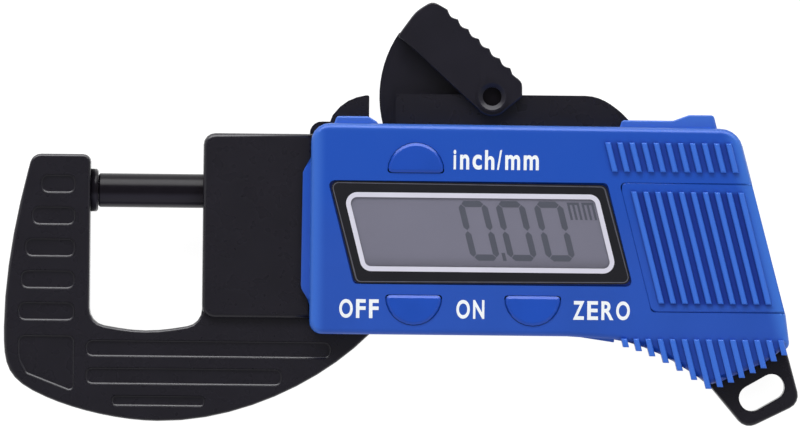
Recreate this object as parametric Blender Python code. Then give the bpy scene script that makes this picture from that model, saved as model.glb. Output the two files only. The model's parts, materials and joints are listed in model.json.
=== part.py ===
"""Digital thickness gauge: C-shaped frame, sliding spindle, thumb lever and display housing.

Units are metres. The gauge lies on its flat back: +X runs along the spindle away from the
anvil, +Y points to the thumb lever and +Z comes out of the display. X values are measured
from the anvil's measuring face, Y values from the spindle axis and Z values from the back.
The empty "gauge" then moves that frame so that the world origin is the rest point on the back.
"""

import math

import bmesh
import bpy
from mathutils import Matrix, Vector

# Overall sizes
BODY_THICKNESS = 0.0180
AXIS_Z = BODY_THICKNESS / 2
REST_POINT_X = 0.0720
STROKE = 0.0127
CLEARANCE = 0.0003
CUT_MARGIN = 0.0010
WELD_DISTANCE = 0.000002

# Frame casting
JAW_THICKNESS = 0.0090
BLOCK_THICKNESS = 0.0120
CORE_THICKNESS = 0.0070
THROAT_FACE_X = 0.0179
JAW_FACE_X = -0.0013
JAW_TOP_Y = 0.0061
THROAT_BOTTOM_Y = -0.0226
THROAT_CORNER_RADIUS = 0.0030
BLOCK_TOP_Y = 0.0099
BLOCK_BOTTOM_Y = -0.0215
BLOCK_END_X = 0.0366
BLOCK_CORNER_RADIUS = 0.0020
BLOCK_EDGE_BEVEL = 0.0008
FRAME_EDGE_BEVEL = 0.0005
PAD_DEPTH = 0.0005
PAD_DRAFT = 0.00045
PAD_WIDTH = 0.0033
PAD_RADIUS = 0.0013
PAD_PITCH = 0.00543
PAD_TOP_ROW_Y = 0.0010
PAD_LEFT_EDGES = (-0.0098, -0.0113, -0.0124, -0.0131, -0.0135)
CORNER_PAD_GAP = 0.00233
BEAM_BOTTOM_Y = -0.0092

# Fin that carries the lever
FIN_TOP_Y = 0.0169
FIN_LEFT_X = 0.0505
HUMP_RIGHT_X = 0.0460
FIN_SLOT_RIGHT_X = 0.0790
LEVER_SLOT = 0.0028

# Tail with the lanyard slot
TAIL_THICKNESS = 0.0090
LANYARD_X = 0.1133
LANYARD_Y = -0.0333
LANYARD_RADIUS = 0.0022
LANYARD_HALF_LENGTH = 0.0019
LANYARD_ANGLE = math.radians(30)

# Measuring spindle and anvil
SPINDLE_RADIUS = 0.0029
SPINDLE_NECK_RADIUS = 0.0015
SPINDLE_TIP_CHAMFER = 0.0003
ANVIL_RADIUS = 0.00365
ANVIL_DISC = 0.0010
ANVIL_SHANK_RADIUS = 0.0020
ANVIL_SHANK_LENGTH = 0.0050
BUSH_WALL = 0.0012
BUSH_RECESS = 0.0005

# Carriage, drive pin and return spring
CARRIAGE_TOP_Y = 0.0030
CARRIAGE_BOTTOM_Y = -0.0050
CARRIAGE_THICKNESS = 0.0060
CARRIAGE_HEAD = 0.0034
CARRIAGE_FLOOR = 0.0023
CARRIAGE_END_WALL = 0.0016
DRIVE_PIN_RADIUS = 0.0010
PIN_TO_WALL = 0.0036
SCALE_THICKNESS = 0.0003
SPRING_MEAN_RADIUS = 0.0020
SPRING_WIRE_RADIUS = 0.00025
SPRING_TURNS = 8
SPRING_GUIDE_RADIUS = 0.0012
SPRING_SEAT_X = 0.0921

# Thumb lever
PIVOT_X = 0.0669
PIVOT_Y = 0.0166
LEVER_WIDTH = 0.0108
LEVER_PLATE = 0.0016
LEVER_WEB = 0.0020
LEVER_ROOT_RADIUS = 0.0033
LEVER_EDGE_BEVEL = 0.0002
LEVER_TOP_WALL = 0.0012
FAN_RADIUS = 0.0192
FAN_TOP_ANGLE = math.radians(146)
FAN_BOTTOM_ANGLE = math.radians(200)
ARM_HALF_ANGLE = math.atan(STROKE / 2 / PIVOT_Y)
ARM_HALF_WIDTH = 0.0023
ARM_LENGTH = 0.0186
BACK_ANGLE = math.radians(47.6)
BACK_DISTANCE = 0.00564
FIRST_TOOTH = 0.00104
TOOTH_PITCH = 0.002434
TOOTH_DEPTH = 0.00062
TOOTH_RADIUS = 0.0018
TOOTH_COUNT = 6
PIVOT_PIN_RADIUS = 0.0013
PIVOT_BOSS_RADIUS = 0.00264
PIVOT_BOSS_HEIGHT = 0.0004
PIVOT_DISH_RADIUS = 0.0023
PIVOT_DISH_DEPTH = 0.0006
PIN_RECESS = 0.0006

# Housing halves
WALL = 0.0016
HOUSING_TOP_Y = 0.0118
HOUSING_BOTTOM_Y = -0.02405
HOUSING_LEFT_X = 0.0362
HOUSING_CORNER_RADIUS = 0.0032
REAR_LIP = 0.0003
HOUSING_EDGE_BEVEL = 0.0010
SKIRT_LEFT_X = 0.0347
SKIRT_TOP_Z = 0.0166
RIM_TOP_Z = 0.0155
PARTING_GAP = CLEARANCE
RIGHT_EDGE_SLANT = math.radians(14.8)
RIGHT_EDGE_X = 0.11185
EDGE_BEND_Y = -0.0200
SLANT = math.radians(14.5)

# Battery compartment
CELL_X = 0.1010
CELL_Y = -0.0092
CELL_RADIUS = 0.0058
CELL_HEIGHT = 0.0054
CELL_TOP_Z = 0.0169
COVER_THICKNESS = 0.0008
COVER_TOP_Y = 0.0019
COVER_BOTTOM_Y = -0.0195
COVER_LEFT_X = 0.0890
COVER_RADIUS = 0.0011
COVER_TONGUE = 0.0013
COVER_TONGUE_THICKNESS = 0.0008
COVER_EDGE = 0.0012
BAY_FLOOR_Z = 0.0142
BAY_FLOOR = 0.0008
BAY_WALL = 0.0007
WELL_WALL = 0.0010
WELL_FLOOR_Z = 0.0099
WELL_FLOOR = 0.0007
CONTACT_THICKNESS = 0.0003

# Display
PANEL_COVER_GAP = 0.00263
PANEL_TOP_Y = 0.0018
PANEL_BOTTOM_Y = -0.0152
PANEL_TOP_LEFT_X = 0.03947
PANEL_WIDTH = COVER_LEFT_X - PANEL_COVER_GAP - PANEL_TOP_LEFT_X
PANEL_RADIUS = 0.0012
PANEL_LEDGE = 0.0012
PANEL_RECESS = 0.0011
LENS_THICKNESS = 0.0005
LCD_THICKNESS = 0.0010
LCD_LEFT_X = 0.0420
LCD_RIGHT_X = PANEL_TOP_LEFT_X + PANEL_WIDTH + 0.0015
LCD_TOP_Y = 0.0002
LCD_BOTTOM_Y = -0.0138
CONNECTOR_WIDTH = 0.0016

# Buttons
BUTTON_WIDTH = 0.0091
BUTTON_HEIGHT = 0.0046
BUTTON_CORNER_RADIUS = 0.0008
BUTTON_RISE = 0.0006
BUTTON_TRAVEL = 0.0005
BUTTON_EAR = 0.0008
BUTTON_EAR_START = 0.0006
BUTTON_EAR_WIDTH = 0.0020
BUTTON_EAR_THICKNESS = 0.0010
BUTTON_EDGE_BEVEL = 0.0004
UNIT_BUTTON = (0.05405, 0.00374, 1)
POWER_BUTTON = (0.05390, -0.01755, -1)
ZERO_BUTTON = (0.07412, -0.01750, -1)
DOME_RADIUS = 0.0021
DOME_GAP = 0.0001

# Circuit board
BOARD_LEFT_X = 0.0472
BOARD_RIGHT_X = 0.0950
BOARD_TOP_Y = 0.0097
BOARD_BOTTOM_Y = -0.0219
BOARD_BOTTOM_Z = 0.0130
BOARD_THICKNESS = 0.0008
CHIP_X = 0.0735
CHIP_Y = 0.0062
CHIP_SIZE = 0.0048
CHIP_HEIGHT = 0.0010

# Grip ribs
RIB_WIDTH = 0.0010
RIB_PITCH = 0.00205
COVER_RIB_PITCH = 0.00202
RIB_HEIGHT = 0.0009
RIB_EDGE = 0.00025
TOP_RIB_COUNT = 11
COVER_RIB_COUNT = 10
BOTTOM_RIB_COUNT = 14
RIB_PROUD = 0.0009
TOP_RIB_X = 0.0861
COVER_RIB_X = COVER_LEFT_X + 0.0016
BOTTOM_RIB_X = 0.0892

# Screws
SCREW_RADIUS = 0.0010
SCREW_HEAD_RADIUS = 0.0018
SCREW_HEAD_HEIGHT = 0.0012
SCREW_HEAD_DEPTH = 0.0006
BOSS_WALL = 0.0011
HOUSING_SCREWS = ((0.0418, 0.0076), (0.0420, -0.0180), (0.1020, 0.0072), (0.1048, -0.0252))
BOARD_SCREWS = ((0.0640, -0.0197), (0.0860, -0.0197))
BOARD_SCREW_HEAD_RADIUS = 0.0016
BOARD_SCREW_HEAD_HEIGHT = 0.0008
SLOT_WIDTH = 0.0006
SLOT_DEPTH = 0.0005

# Levels that follow from the sizes above
FRAME_BOTTOM_Z = AXIS_Z - JAW_THICKNESS / 2
FRAME_TOP_Z = AXIS_Z + JAW_THICKNESS / 2
CORE_BOTTOM_Z = AXIS_Z - CORE_THICKNESS / 2
CORE_TOP_Z = AXIS_Z + CORE_THICKNESS / 2
FACE_INNER_Z = BODY_THICKNESS - WALL
BOARD_TOP_Z = BOARD_BOTTOM_Z + BOARD_THICKNESS
LCD_TOP_Z = FACE_INNER_Z - CLEARANCE
LCD_BOTTOM_Z = LCD_TOP_Z - LCD_THICKNESS
BORE_RADIUS = SPINDLE_RADIUS + CLEARANCE
BUSH_RADIUS = BORE_RADIUS + BUSH_WALL
ARM_DROP = PIVOT_Y
PIN_X = PIVOT_X - ARM_DROP * math.tan(ARM_HALF_ANGLE)
CARRIAGE_START_X = BLOCK_END_X + CLEARANCE
CARRIAGE_WALL_X = PIN_X + PIN_TO_WALL
CARRIAGE_END_X = CARRIAGE_WALL_X + CARRIAGE_END_WALL
LEVER_INNER = CORE_THICKNESS + 2 * CLEARANCE
BUTTON_FOOT_Z = FACE_INNER_Z - CLEARANCE - BUTTON_EAR_THICKNESS
DOME_HEIGHT = BUTTON_FOOT_Z - BUTTON_TRAVEL - DOME_GAP - BOARD_TOP_Z - CLEARANCE


def clear_scene():
    """Remove every object, mesh, curve and material of the open file."""
    for item in list(bpy.data.objects):
        bpy.data.objects.remove(item, do_unlink=True)
    for store in (bpy.data.meshes, bpy.data.curves, bpy.data.materials):
        for item in list(store):
            store.remove(item)


def material(name, colour, roughness, metallic=0.0):
    """Return a Principled material with one colour, roughness and metallic value."""
    result = bpy.data.materials.new(name)
    result.use_nodes = True
    shader = result.node_tree.nodes["Principled BSDF"]
    shader.inputs["Base Color"].default_value = (*colour, 1.0)
    shader.inputs["Roughness"].default_value = roughness
    shader.inputs["Metallic"].default_value = metallic
    return result


# Outlines

def offset_corners(corners, distance):
    """Move each side of a counter-clockwise polygon inwards by a distance."""
    result = []
    count = len(corners)
    for index, (x, y, radius) in enumerate(corners):
        before = corners[index - 1]
        after = corners[(index + 1) % count]
        side_in = Vector((x - before[0], y - before[1])).normalized()
        side_out = Vector((after[0] - x, after[1] - y)).normalized()
        normal_in = Vector((-side_in.y, side_in.x))
        normal_out = Vector((-side_out.y, side_out.x))
        shift = (normal_in + normal_out) * distance / (1 + normal_in.dot(normal_out))
        turn = side_in.x * side_out.y - side_in.y * side_out.x
        if radius > 0:
            radius = max(radius - math.copysign(distance, turn), CLEARANCE)
        result.append((x + shift.x, y + shift.y, radius))
    return result


def rounded(corners, steps=4):
    """Return a polygon's points, with an arc of each corner's radius."""
    points = []
    count = len(corners)
    for index, (x, y, radius) in enumerate(corners):
        corner = Vector((x, y))
        back = Vector(corners[index - 1][:2]) - corner
        ahead = Vector(corners[(index + 1) % count][:2]) - corner
        half = back.angle(ahead) / 2
        if radius <= 0 or half > math.radians(89):
            points.append((x, y))
            continue
        reach = min(radius / math.tan(half), 0.48 * back.length, 0.48 * ahead.length)
        radius = reach * math.tan(half)
        back.normalize()
        ahead.normalize()
        centre = corner + (back + ahead).normalized() * radius / math.sin(half)
        first = corner + back * reach - centre
        last = corner + ahead * reach - centre
        start = math.atan2(first.y, first.x)
        sweep = math.atan2(last.y, last.x) - start
        sweep = (sweep + math.pi) % (2 * math.pi) - math.pi
        for step in range(steps + 1):
            angle = start + sweep * step / steps
            points.append((centre.x + radius * math.cos(angle), centre.y + radius * math.sin(angle)))
    return points


def bezier(start, first, second, end, steps=5):
    """Return polygon corners along a cubic curve, without its last point."""
    corners = []
    for step in range(steps):
        t = step / steps
        weights = ((1 - t) ** 3, 3 * t * (1 - t) ** 2, 3 * t * t * (1 - t), t ** 3)
        x = sum(w * p[0] for w, p in zip(weights, (start, first, second, end)))
        y = sum(w * p[1] for w, p in zip(weights, (start, first, second, end)))
        corners.append((x, y, 0))
    return corners


def rectangle(left, right, bottom, top, radius=0.0):
    return [(left, bottom, radius), (right, bottom, radius), (right, top, radius), (left, top, radius)]


def slanted(top_left_x, width, top_y, bottom_y, radius=0.0, slant=SLANT):
    """Return a parallelogram whose sides lean to the left at the top."""
    shift = (top_y - bottom_y) * math.tan(slant)
    left = top_left_x + shift
    return [
        (left, bottom_y, radius),
        (left + width, bottom_y, radius),
        (top_left_x + width, top_y, radius),
        (top_left_x, top_y, radius),
    ]


def right_edge_x(y):
    """Return where the housing's slanted right edge lies at a height y."""
    return RIGHT_EDGE_X - y * math.tan(RIGHT_EDGE_SLANT)


def polar(centre, radius, angle):
    return (centre[0] + radius * math.cos(angle), centre[1] + radius * math.sin(angle))


# Solids

def new_object(name, bm):
    """Turn a bmesh into an object with outward faces."""
    bmesh.ops.recalc_face_normals(bm, faces=bm.faces)
    mesh = bpy.data.meshes.new(name)
    bm.to_mesh(mesh)
    bm.free()
    result = bpy.data.objects.new(name, mesh)
    bpy.context.scene.collection.objects.link(result)
    return result


def prism(name, corners, bottom, top, bevel=(0.0, 0.0), steps=4, bevel_steps=2):
    """Extrude a rounded polygon from bottom to top, with its two rims bevelled."""
    bm = bmesh.new()
    ring = [bm.verts.new((x, y, bottom)) for x, y in rounded(corners, steps)]
    floor = bm.faces.new(ring)
    raised = bmesh.ops.extrude_face_region(bm, geom=[floor])["geom"]
    lifted = [item for item in raised if isinstance(item, bmesh.types.BMVert)]
    bmesh.ops.translate(bm, verts=lifted, vec=(0, 0, top - bottom))
    for level, width in ((bottom, bevel[0]), (top, bevel[1])):
        if width > 0:
            rim = [edge for edge in bm.edges if all(abs(v.co.z - level) < 1e-7 for v in edge.verts)]
            bmesh.ops.bevel(bm, geom=rim, offset=width, segments=bevel_steps, profile=0.5,
                            affect="EDGES", clamp_overlap=False)
    return new_object(name, bm)


def turned(name, profile, origin, direction, segments=32):
    """Spin a profile of (distance along the axis, radius) about an axis through origin."""
    bm = bmesh.new()
    stations = [(profile[0][0], 0.0), *profile, (profile[-1][0], 0.0)]
    verts = [bm.verts.new((radius, 0, along)) for along, radius in stations]
    edges = [bm.edges.new(pair) for pair in zip(verts, verts[1:])]
    bmesh.ops.spin(bm, geom=verts + edges, cent=(0, 0, 0), axis=(0, 0, 1), dvec=(0, 0, 0),
                   angle=2 * math.pi, steps=segments, use_merge=True)
    bmesh.ops.remove_doubles(bm, verts=bm.verts, dist=1e-6)
    turn = Vector((0, 0, 1)).rotation_difference(Vector(direction)).to_matrix().to_4x4()
    bmesh.ops.transform(bm, matrix=Matrix.Translation(Vector(origin)) @ turn, verts=bm.verts)
    return new_object(name, bm)


def cylinder(name, radius, length, origin, direction, segments=28):
    return turned(name, [(0, radius), (length, radius)], origin, direction, segments)


def tube(name, outer, inner, length, origin, direction, segments=32):
    """Spin a closed rectangular section, which leaves a bore through the piece."""
    bm = bmesh.new()
    section = [(0, inner), (0, outer), (length, outer), (length, inner)]
    verts = [bm.verts.new((radius, 0, along)) for along, radius in section]
    edges = [bm.edges.new((verts[i], verts[(i + 1) % 4])) for i in range(4)]
    bmesh.ops.spin(bm, geom=verts + edges, cent=(0, 0, 0), axis=(0, 0, 1), dvec=(0, 0, 0),
                   angle=2 * math.pi, steps=segments, use_merge=True)
    bmesh.ops.remove_doubles(bm, verts=bm.verts, dist=1e-6)
    turn = Vector((0, 0, 1)).rotation_difference(Vector(direction)).to_matrix().to_4x4()
    bmesh.ops.transform(bm, matrix=Matrix.Translation(Vector(origin)) @ turn, verts=bm.verts)
    return new_object(name, bm)


def welded(mesh):
    """Merge the points of a mesh that lie within a micrometre and drop what that flattens."""
    bm = bmesh.new()
    bm.from_mesh(mesh)
    bmesh.ops.remove_doubles(bm, verts=bm.verts, dist=WELD_DISTANCE)
    bmesh.ops.dissolve_degenerate(bm, edges=bm.edges, dist=WELD_DISTANCE)
    bm.to_mesh(mesh)
    bm.free()
    return mesh


def combine(target, tools, operation):
    """Join tools to the target, or cut them out of it, one by one, and drop the tools."""
    for tool in tools:
        modifier = target.modifiers.new(tool.name, "BOOLEAN")
        modifier.object = tool
        modifier.operation = operation
        modifier.solver = "EXACT"
        bpy.context.view_layer.update()
        graph = bpy.context.evaluated_depsgraph_get()
        baked = bpy.data.meshes.new_from_object(target.evaluated_get(graph))
        target.modifiers.clear()
        target.data = welded(baked)
        bpy.data.objects.remove(tool, do_unlink=True)
    return target


def add(target, *tools):
    return combine(target, tools, "UNION")


def cut(target, *tools):
    return combine(target, tools, "DIFFERENCE")


def finish(piece, name, surface, parent, origin=(0, 0, 0), smooth_angle=35):
    """Name a piece, give it its material and place its origin on its parent's axis."""
    piece.name = name
    piece.data.name = name
    piece.data.materials.clear()
    piece.data.materials.append(surface)
    piece.data.shade_smooth()
    piece.data.set_sharp_from_angle(angle=math.radians(smooth_angle))
    piece.data.transform(Matrix.Translation(-Vector(origin)))
    piece.parent = parent
    return piece


def axis_empty(name, location, parent=None):
    empty = bpy.data.objects.new(name, None)
    empty.location = location
    empty.empty_display_size = 0.005
    empty.parent = parent
    bpy.context.scene.collection.objects.link(empty)
    return empty


# Frame

def pad_row_y(row):
    return PAD_TOP_ROW_Y - row * PAD_PITCH


def corner_pad_top_y():
    """Return the level of the jaw's corner, below the last row of pads."""
    return pad_row_y(len(PAD_LEFT_EDGES) - 1) - PAD_WIDTH / 2 - CORNER_PAD_GAP


def jaw_corners():
    """Return the outline of the C-shaped jaw, which runs on under the housing."""
    under_housing = (0.0465, -0.0240)
    corner_y = corner_pad_top_y()
    upright_foot = (-0.0158, corner_y + 0.0012)
    corner_end = (-0.0085, corner_y - 0.0106)
    lowest = (0.0105, corner_y - 0.0145)
    outer = bezier((-0.01198, 0.0031), (-0.01416, -0.0054), (-0.0158, corner_y + 0.0097), upright_foot)
    outer += bezier(upright_foot, (-0.0158, corner_y - 0.0055), (-0.0153, corner_y - 0.0077), corner_end, 8)
    outer += bezier(corner_end, (-0.0030, corner_y - 0.01295), (0.0045, corner_y - 0.0145), lowest, 8)
    outer += bezier(lowest, (0.0240, corner_y - 0.0146), (0.0382, -0.0325), under_housing, 10)
    middle_x = (JAW_FACE_X + THROAT_FACE_X) / 2
    return [
        (JAW_FACE_X, JAW_TOP_Y, 0.0013),
        (-0.01120, JAW_TOP_Y, 0.0023),
        *outer,
        (*under_housing, 0),
        (under_housing[0], BEAM_BOTTOM_Y, 0),
        (THROAT_FACE_X, BEAM_BOTTOM_Y, 0),
        (THROAT_FACE_X, THROAT_BOTTOM_Y, THROAT_CORNER_RADIUS),
        (middle_x, THROAT_BOTTOM_Y - 0.0016, 0.0400),
        (JAW_FACE_X, THROAT_BOTTOM_Y, THROAT_CORNER_RADIUS),
    ]


def core_corners():
    """Return the outline of the flat plate that carries the mechanism inside the housing."""
    return [
        (BLOCK_END_X - 0.006, BLOCK_BOTTOM_Y + 0.0003, 0),
        (0.0465, BLOCK_BOTTOM_Y + 0.0003, 0.001),
        (0.0485, BEAM_BOTTOM_Y, 0.001),
        (0.0900, BEAM_BOTTOM_Y, 0.003),
        (0.0955, -0.0170, 0.003),
        (0.1005, -0.0290, 0.003),
        (0.1040, -0.0312, 0),
        (0.1135, -0.0270, 0.002),
        (0.1085, 0.0020, 0.002),
        (0.1065, 0.0094, 0.002),
        (BLOCK_END_X - 0.006, 0.0094, 0),
    ]


def fin_corners():
    """Return the outline of the fin whose two cheeks hold the lever's pivot."""
    crest = bezier((0.0828, FIN_TOP_Y), (0.0855, FIN_TOP_Y), (0.0878, 0.0152), (0.0900, 0.0131), 7)
    crest.reverse()
    return [
        (HUMP_RIGHT_X - 0.001, 0.0040, 0),
        (0.0935, 0.0040, 0),
        (0.0935, 0.0095, 0),
        (0.0902, 0.0128, 0),
        *crest,
        (FIN_LEFT_X, FIN_TOP_Y, 0.0006),
        (FIN_LEFT_X, 0.0108, 0),
        (HUMP_RIGHT_X - 0.001, 0.0108, 0),
    ]


def hump_corners():
    """Return the outline of the short hump to the left of the fin."""
    crest = bezier((0.0454, 0.0166), (0.0428, 0.0162), (0.0404, 0.0150), (0.0387, 0.0112), 5)
    return [
        (BLOCK_END_X - 0.002, 0.0040, 0),
        (HUMP_RIGHT_X, 0.0040, 0),
        (HUMP_RIGHT_X, 0.0166, 0.0003),
        *crest,
        (0.0380, 0.0085, 0),
        (BLOCK_END_X - 0.002, 0.0085, 0),
    ]


def tail_corners():
    """Return the outline of the tail that sticks out of the housing's lower right corner."""
    return [
        (0.1020, -0.0270, 0),
        (0.1020, -0.0304, 0.0014),
        (0.1047, -0.0326, 0.0014),
        (0.1106, -0.0396, 0.0024),
        (0.1199, -0.0350, 0.0024),
        (0.1180, -0.0281, 0.0030),
        (0.1168, -0.0240, 0),
        (0.1110, -0.0200, 0),
        (0.1060, -0.0200, 0),
    ]


def pad_outlines():
    """Return the six sunken pads on the jaw's upright and the three long flutes below."""
    right_x = -0.0037
    half = PAD_WIDTH / 2
    outlines = []
    for row, left_x in enumerate(PAD_LEFT_EDGES):
        middle_y = pad_row_y(row)
        outlines.append(rectangle(left_x, right_x, middle_y - half, middle_y + half, PAD_RADIUS))
    corner_y = corner_pad_top_y()
    outlines.append([
        (right_x, corner_y, 0.0011),
        (-0.0134, corner_y, 0.0011),
        (-0.0134, corner_y - 0.0041, 0.0028),
        (-0.0120, corner_y - 0.0067, 0.0012),
        (-0.0045, corner_y - 0.0096, 0.0008),
        (right_x, corner_y - 0.0091, 0.0008),
    ])
    for left_x, right_x, top_y, width in (
        (-0.0019, 0.0400, -0.0254, 0.0030),
        (-0.0019, 0.0317, -0.0301, 0.0030),
        (0.0026, 0.0186, -0.0348, 0.0020),
    ):
        outlines.append(rectangle(left_x, right_x, top_y - width, top_y, width * 0.4))
    return outlines


def block_corners():
    """Return the block's outline, whose right end runs square into the housing."""
    return [
        (THROAT_FACE_X, BLOCK_BOTTOM_Y, BLOCK_CORNER_RADIUS),
        (BLOCK_END_X, BLOCK_BOTTOM_Y, 0),
        (BLOCK_END_X, BLOCK_TOP_Y, 0),
        (THROAT_FACE_X, BLOCK_TOP_Y, BLOCK_CORNER_RADIUS),
    ]


def lanyard_corners(radius):
    """Return the slanted stadium of the lanyard slot as a polygon with round ends."""
    along = Vector((math.cos(LANYARD_ANGLE), math.sin(LANYARD_ANGLE)))
    across = Vector((-along.y, along.x))
    centre = Vector((LANYARD_X, LANYARD_Y))
    reach = LANYARD_HALF_LENGTH + radius
    corners = []
    for side, end in ((-1, -1), (-1, 1), (1, 1), (1, -1)):
        point = centre + along * reach * end + across * radius * side
        corners.append((point.x, point.y, 0.97 * radius))
    return corners


def screw_hole(name, position, radius, bottom, top):
    x, y = position
    return cylinder(name, radius, top - bottom, (x, y, bottom), (0, 0, 1), 16)


def build_frame(surface, parent):
    bevel = (FRAME_EDGE_BEVEL, FRAME_EDGE_BEVEL)
    frame = prism("jaw", jaw_corners(), FRAME_BOTTOM_Z, FRAME_TOP_Z, bevel)
    block_half = BLOCK_THICKNESS / 2
    block = prism("block", block_corners(), AXIS_Z - block_half, AXIS_Z + block_half,
                  (BLOCK_EDGE_BEVEL, BLOCK_EDGE_BEVEL))
    core = prism("core", core_corners(), CORE_BOTTOM_Z, CORE_TOP_Z)
    fin = prism("fin", fin_corners(), CORE_BOTTOM_Z, CORE_TOP_Z)
    hump = prism("hump", hump_corners(), CORE_BOTTOM_Z, CORE_TOP_Z)
    lug = cylinder("lug", LEVER_ROOT_RADIUS - CLEARANCE, CORE_THICKNESS,
                   (PIVOT_X, PIVOT_Y, CORE_BOTTOM_Z), (0, 0, 1))
    tail_half = TAIL_THICKNESS / 2
    tail = prism("tail", tail_corners(), AXIS_Z - tail_half, AXIS_Z + tail_half, bevel)
    cut(tail, prism("lanyard", lanyard_corners(LANYARD_RADIUS), 0, BODY_THICKNESS, steps=6))
    add(frame, block, core, fin, hump, lug, tail)
    pads = []
    for number, outline in enumerate(pad_outlines()):
        pads.append(prism(f"pad_front_{number}", outline, FRAME_TOP_Z - PAD_DEPTH,
                          FRAME_TOP_Z + CUT_MARGIN, (PAD_DRAFT, 0), 3, 2))
        pads.append(prism(f"pad_back_{number}", outline, FRAME_BOTTOM_Z - CUT_MARGIN,
                          FRAME_BOTTOM_Z + PAD_DEPTH, (0, PAD_DRAFT), 2, 1))
    cut(frame, *pads)
    window = prism("window", rectangle(
        BLOCK_END_X, SPRING_SEAT_X + CLEARANCE, CARRIAGE_BOTTOM_Y - CLEARANCE,
        CARRIAGE_TOP_Y + CLEARANCE), CORE_BOTTOM_Z - CUT_MARGIN, CORE_TOP_Z + CUT_MARGIN)
    lever_slot = prism("lever_slot", rectangle(
        HUMP_RIGHT_X, FIN_SLOT_RIGHT_X, CARRIAGE_TOP_Y, FIN_TOP_Y + 0.004),
        AXIS_Z - LEVER_SLOT / 2, AXIS_Z + LEVER_SLOT / 2)
    bore = cylinder("bore", BUSH_RADIUS + CLEARANCE, BLOCK_END_X - THROAT_FACE_X + 2 * CUT_MARGIN,
                    (THROAT_FACE_X - CUT_MARGIN, 0, AXIS_Z), (1, 0, 0))
    anvil_bore = cylinder("anvil_bore", ANVIL_SHANK_RADIUS + CLEARANCE,
                          ANVIL_SHANK_LENGTH + CLEARANCE + CUT_MARGIN,
                          (JAW_FACE_X + CUT_MARGIN, 0, AXIS_Z), (-1, 0, 0), 24)
    pivot = cylinder("pivot", PIVOT_PIN_RADIUS + CLEARANCE, CORE_THICKNESS + 2 * CUT_MARGIN,
                     (PIVOT_X, PIVOT_Y, CORE_BOTTOM_Z - CUT_MARGIN), (0, 0, 1), 24)
    guide_hole = cylinder("guide_hole", SPRING_GUIDE_RADIUS + CLEARANCE, 0.0035 + CUT_MARGIN,
                          (SPRING_SEAT_X - CUT_MARGIN, 0, AXIS_Z), (1, 0, 0), 20)
    cell_pocket = cylinder("cell_pocket", well_radius() + WELL_WALL + CLEARANCE, BODY_THICKNESS,
                           (CELL_X, CELL_Y, WELL_FLOOR_Z - CLEARANCE), (0, 0, 1), 28)
    holes = [screw_hole(f"hole_{n}", spot, SCREW_RADIUS + CLEARANCE, 0, BODY_THICKNESS)
             for n, spot in enumerate(HOUSING_SCREWS)]
    cut(frame, window, lever_slot, bore, anvil_bore, pivot, guide_hole, cell_pocket, *holes)
    return finish(frame, "frame", surface, parent)


# Measuring line

def build_anvil(surface, parent):
    shank = -JAW_FACE_X + ANVIL_SHANK_LENGTH
    chamfer = SPINDLE_TIP_CHAMFER
    profile = [
        (0, ANVIL_RADIUS - chamfer),
        (chamfer, ANVIL_RADIUS),
        (ANVIL_DISC, ANVIL_RADIUS),
        (ANVIL_DISC, ANVIL_SHANK_RADIUS),
        (shank, ANVIL_SHANK_RADIUS),
    ]
    anvil = turned("anvil", profile, (0, 0, AXIS_Z), (-1, 0, 0), 28)
    return finish(anvil, "anvil", surface, parent)


def build_spindle(surface, parent):
    neck_start = BLOCK_END_X
    end = CARRIAGE_START_X + CARRIAGE_HEAD - CLEARANCE
    profile = [
        (CLEARANCE, SPINDLE_RADIUS - SPINDLE_TIP_CHAMFER),
        (CLEARANCE + SPINDLE_TIP_CHAMFER, SPINDLE_RADIUS),
        (neck_start, SPINDLE_RADIUS),
        (neck_start, SPINDLE_NECK_RADIUS),
        (end, SPINDLE_NECK_RADIUS),
    ]
    spindle = turned("spindle", profile, (0, 0, AXIS_Z), (1, 0, 0), 28)
    return finish(spindle, "spindle", surface, parent, parent.location)


def build_bush(surface, parent):
    start = THROAT_FACE_X + BUSH_RECESS
    bush = tube("spindle_bush", BUSH_RADIUS, BORE_RADIUS, BLOCK_END_X - CLEARANCE - start,
                (start, 0, AXIS_Z), (1, 0, 0), 28)
    return finish(bush, "spindle_bush", surface, parent)


def build_carriage(surface, parent):
    """The carriage is a channel whose two rails straddle the lever's web."""
    half = CARRIAGE_THICKNESS / 2
    carriage = prism("carriage", rectangle(
        CARRIAGE_START_X, CARRIAGE_END_X, CARRIAGE_BOTTOM_Y, CARRIAGE_TOP_Y, 0.0005),
        AXIS_Z - half, AXIS_Z + half, (0.0003, 0.0003), 3, 1)
    slot = prism("slot", rectangle(
        CARRIAGE_START_X + CARRIAGE_HEAD, CARRIAGE_WALL_X, CARRIAGE_BOTTOM_Y + CARRIAGE_FLOOR,
        CARRIAGE_TOP_Y + CUT_MARGIN), AXIS_Z - LEVER_SLOT / 2, AXIS_Z + LEVER_SLOT / 2)
    bore = cylinder("bore", SPINDLE_NECK_RADIUS + CLEARANCE, CARRIAGE_HEAD + 2 * CUT_MARGIN,
                    (CARRIAGE_START_X - CUT_MARGIN, 0, AXIS_Z), (1, 0, 0), 24)
    pin_hole = cylinder("pin_hole", DRIVE_PIN_RADIUS + CLEARANCE, CARRIAGE_THICKNESS + 2 * CUT_MARGIN,
                        (PIN_X, 0, AXIS_Z - half - CUT_MARGIN), (0, 0, 1), 24)
    cut(carriage, slot, bore, pin_hole)
    return finish(carriage, "carriage", surface, parent, parent.location)


def build_drive_pin(surface, parent):
    length = CARRIAGE_THICKNESS - 2 * CLEARANCE
    pin = cylinder("drive_pin", DRIVE_PIN_RADIUS, length, (PIN_X, 0, AXIS_Z - length / 2),
                   (0, 0, 1), 20)
    return finish(pin, "drive_pin", surface, parent, parent.location)


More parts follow.
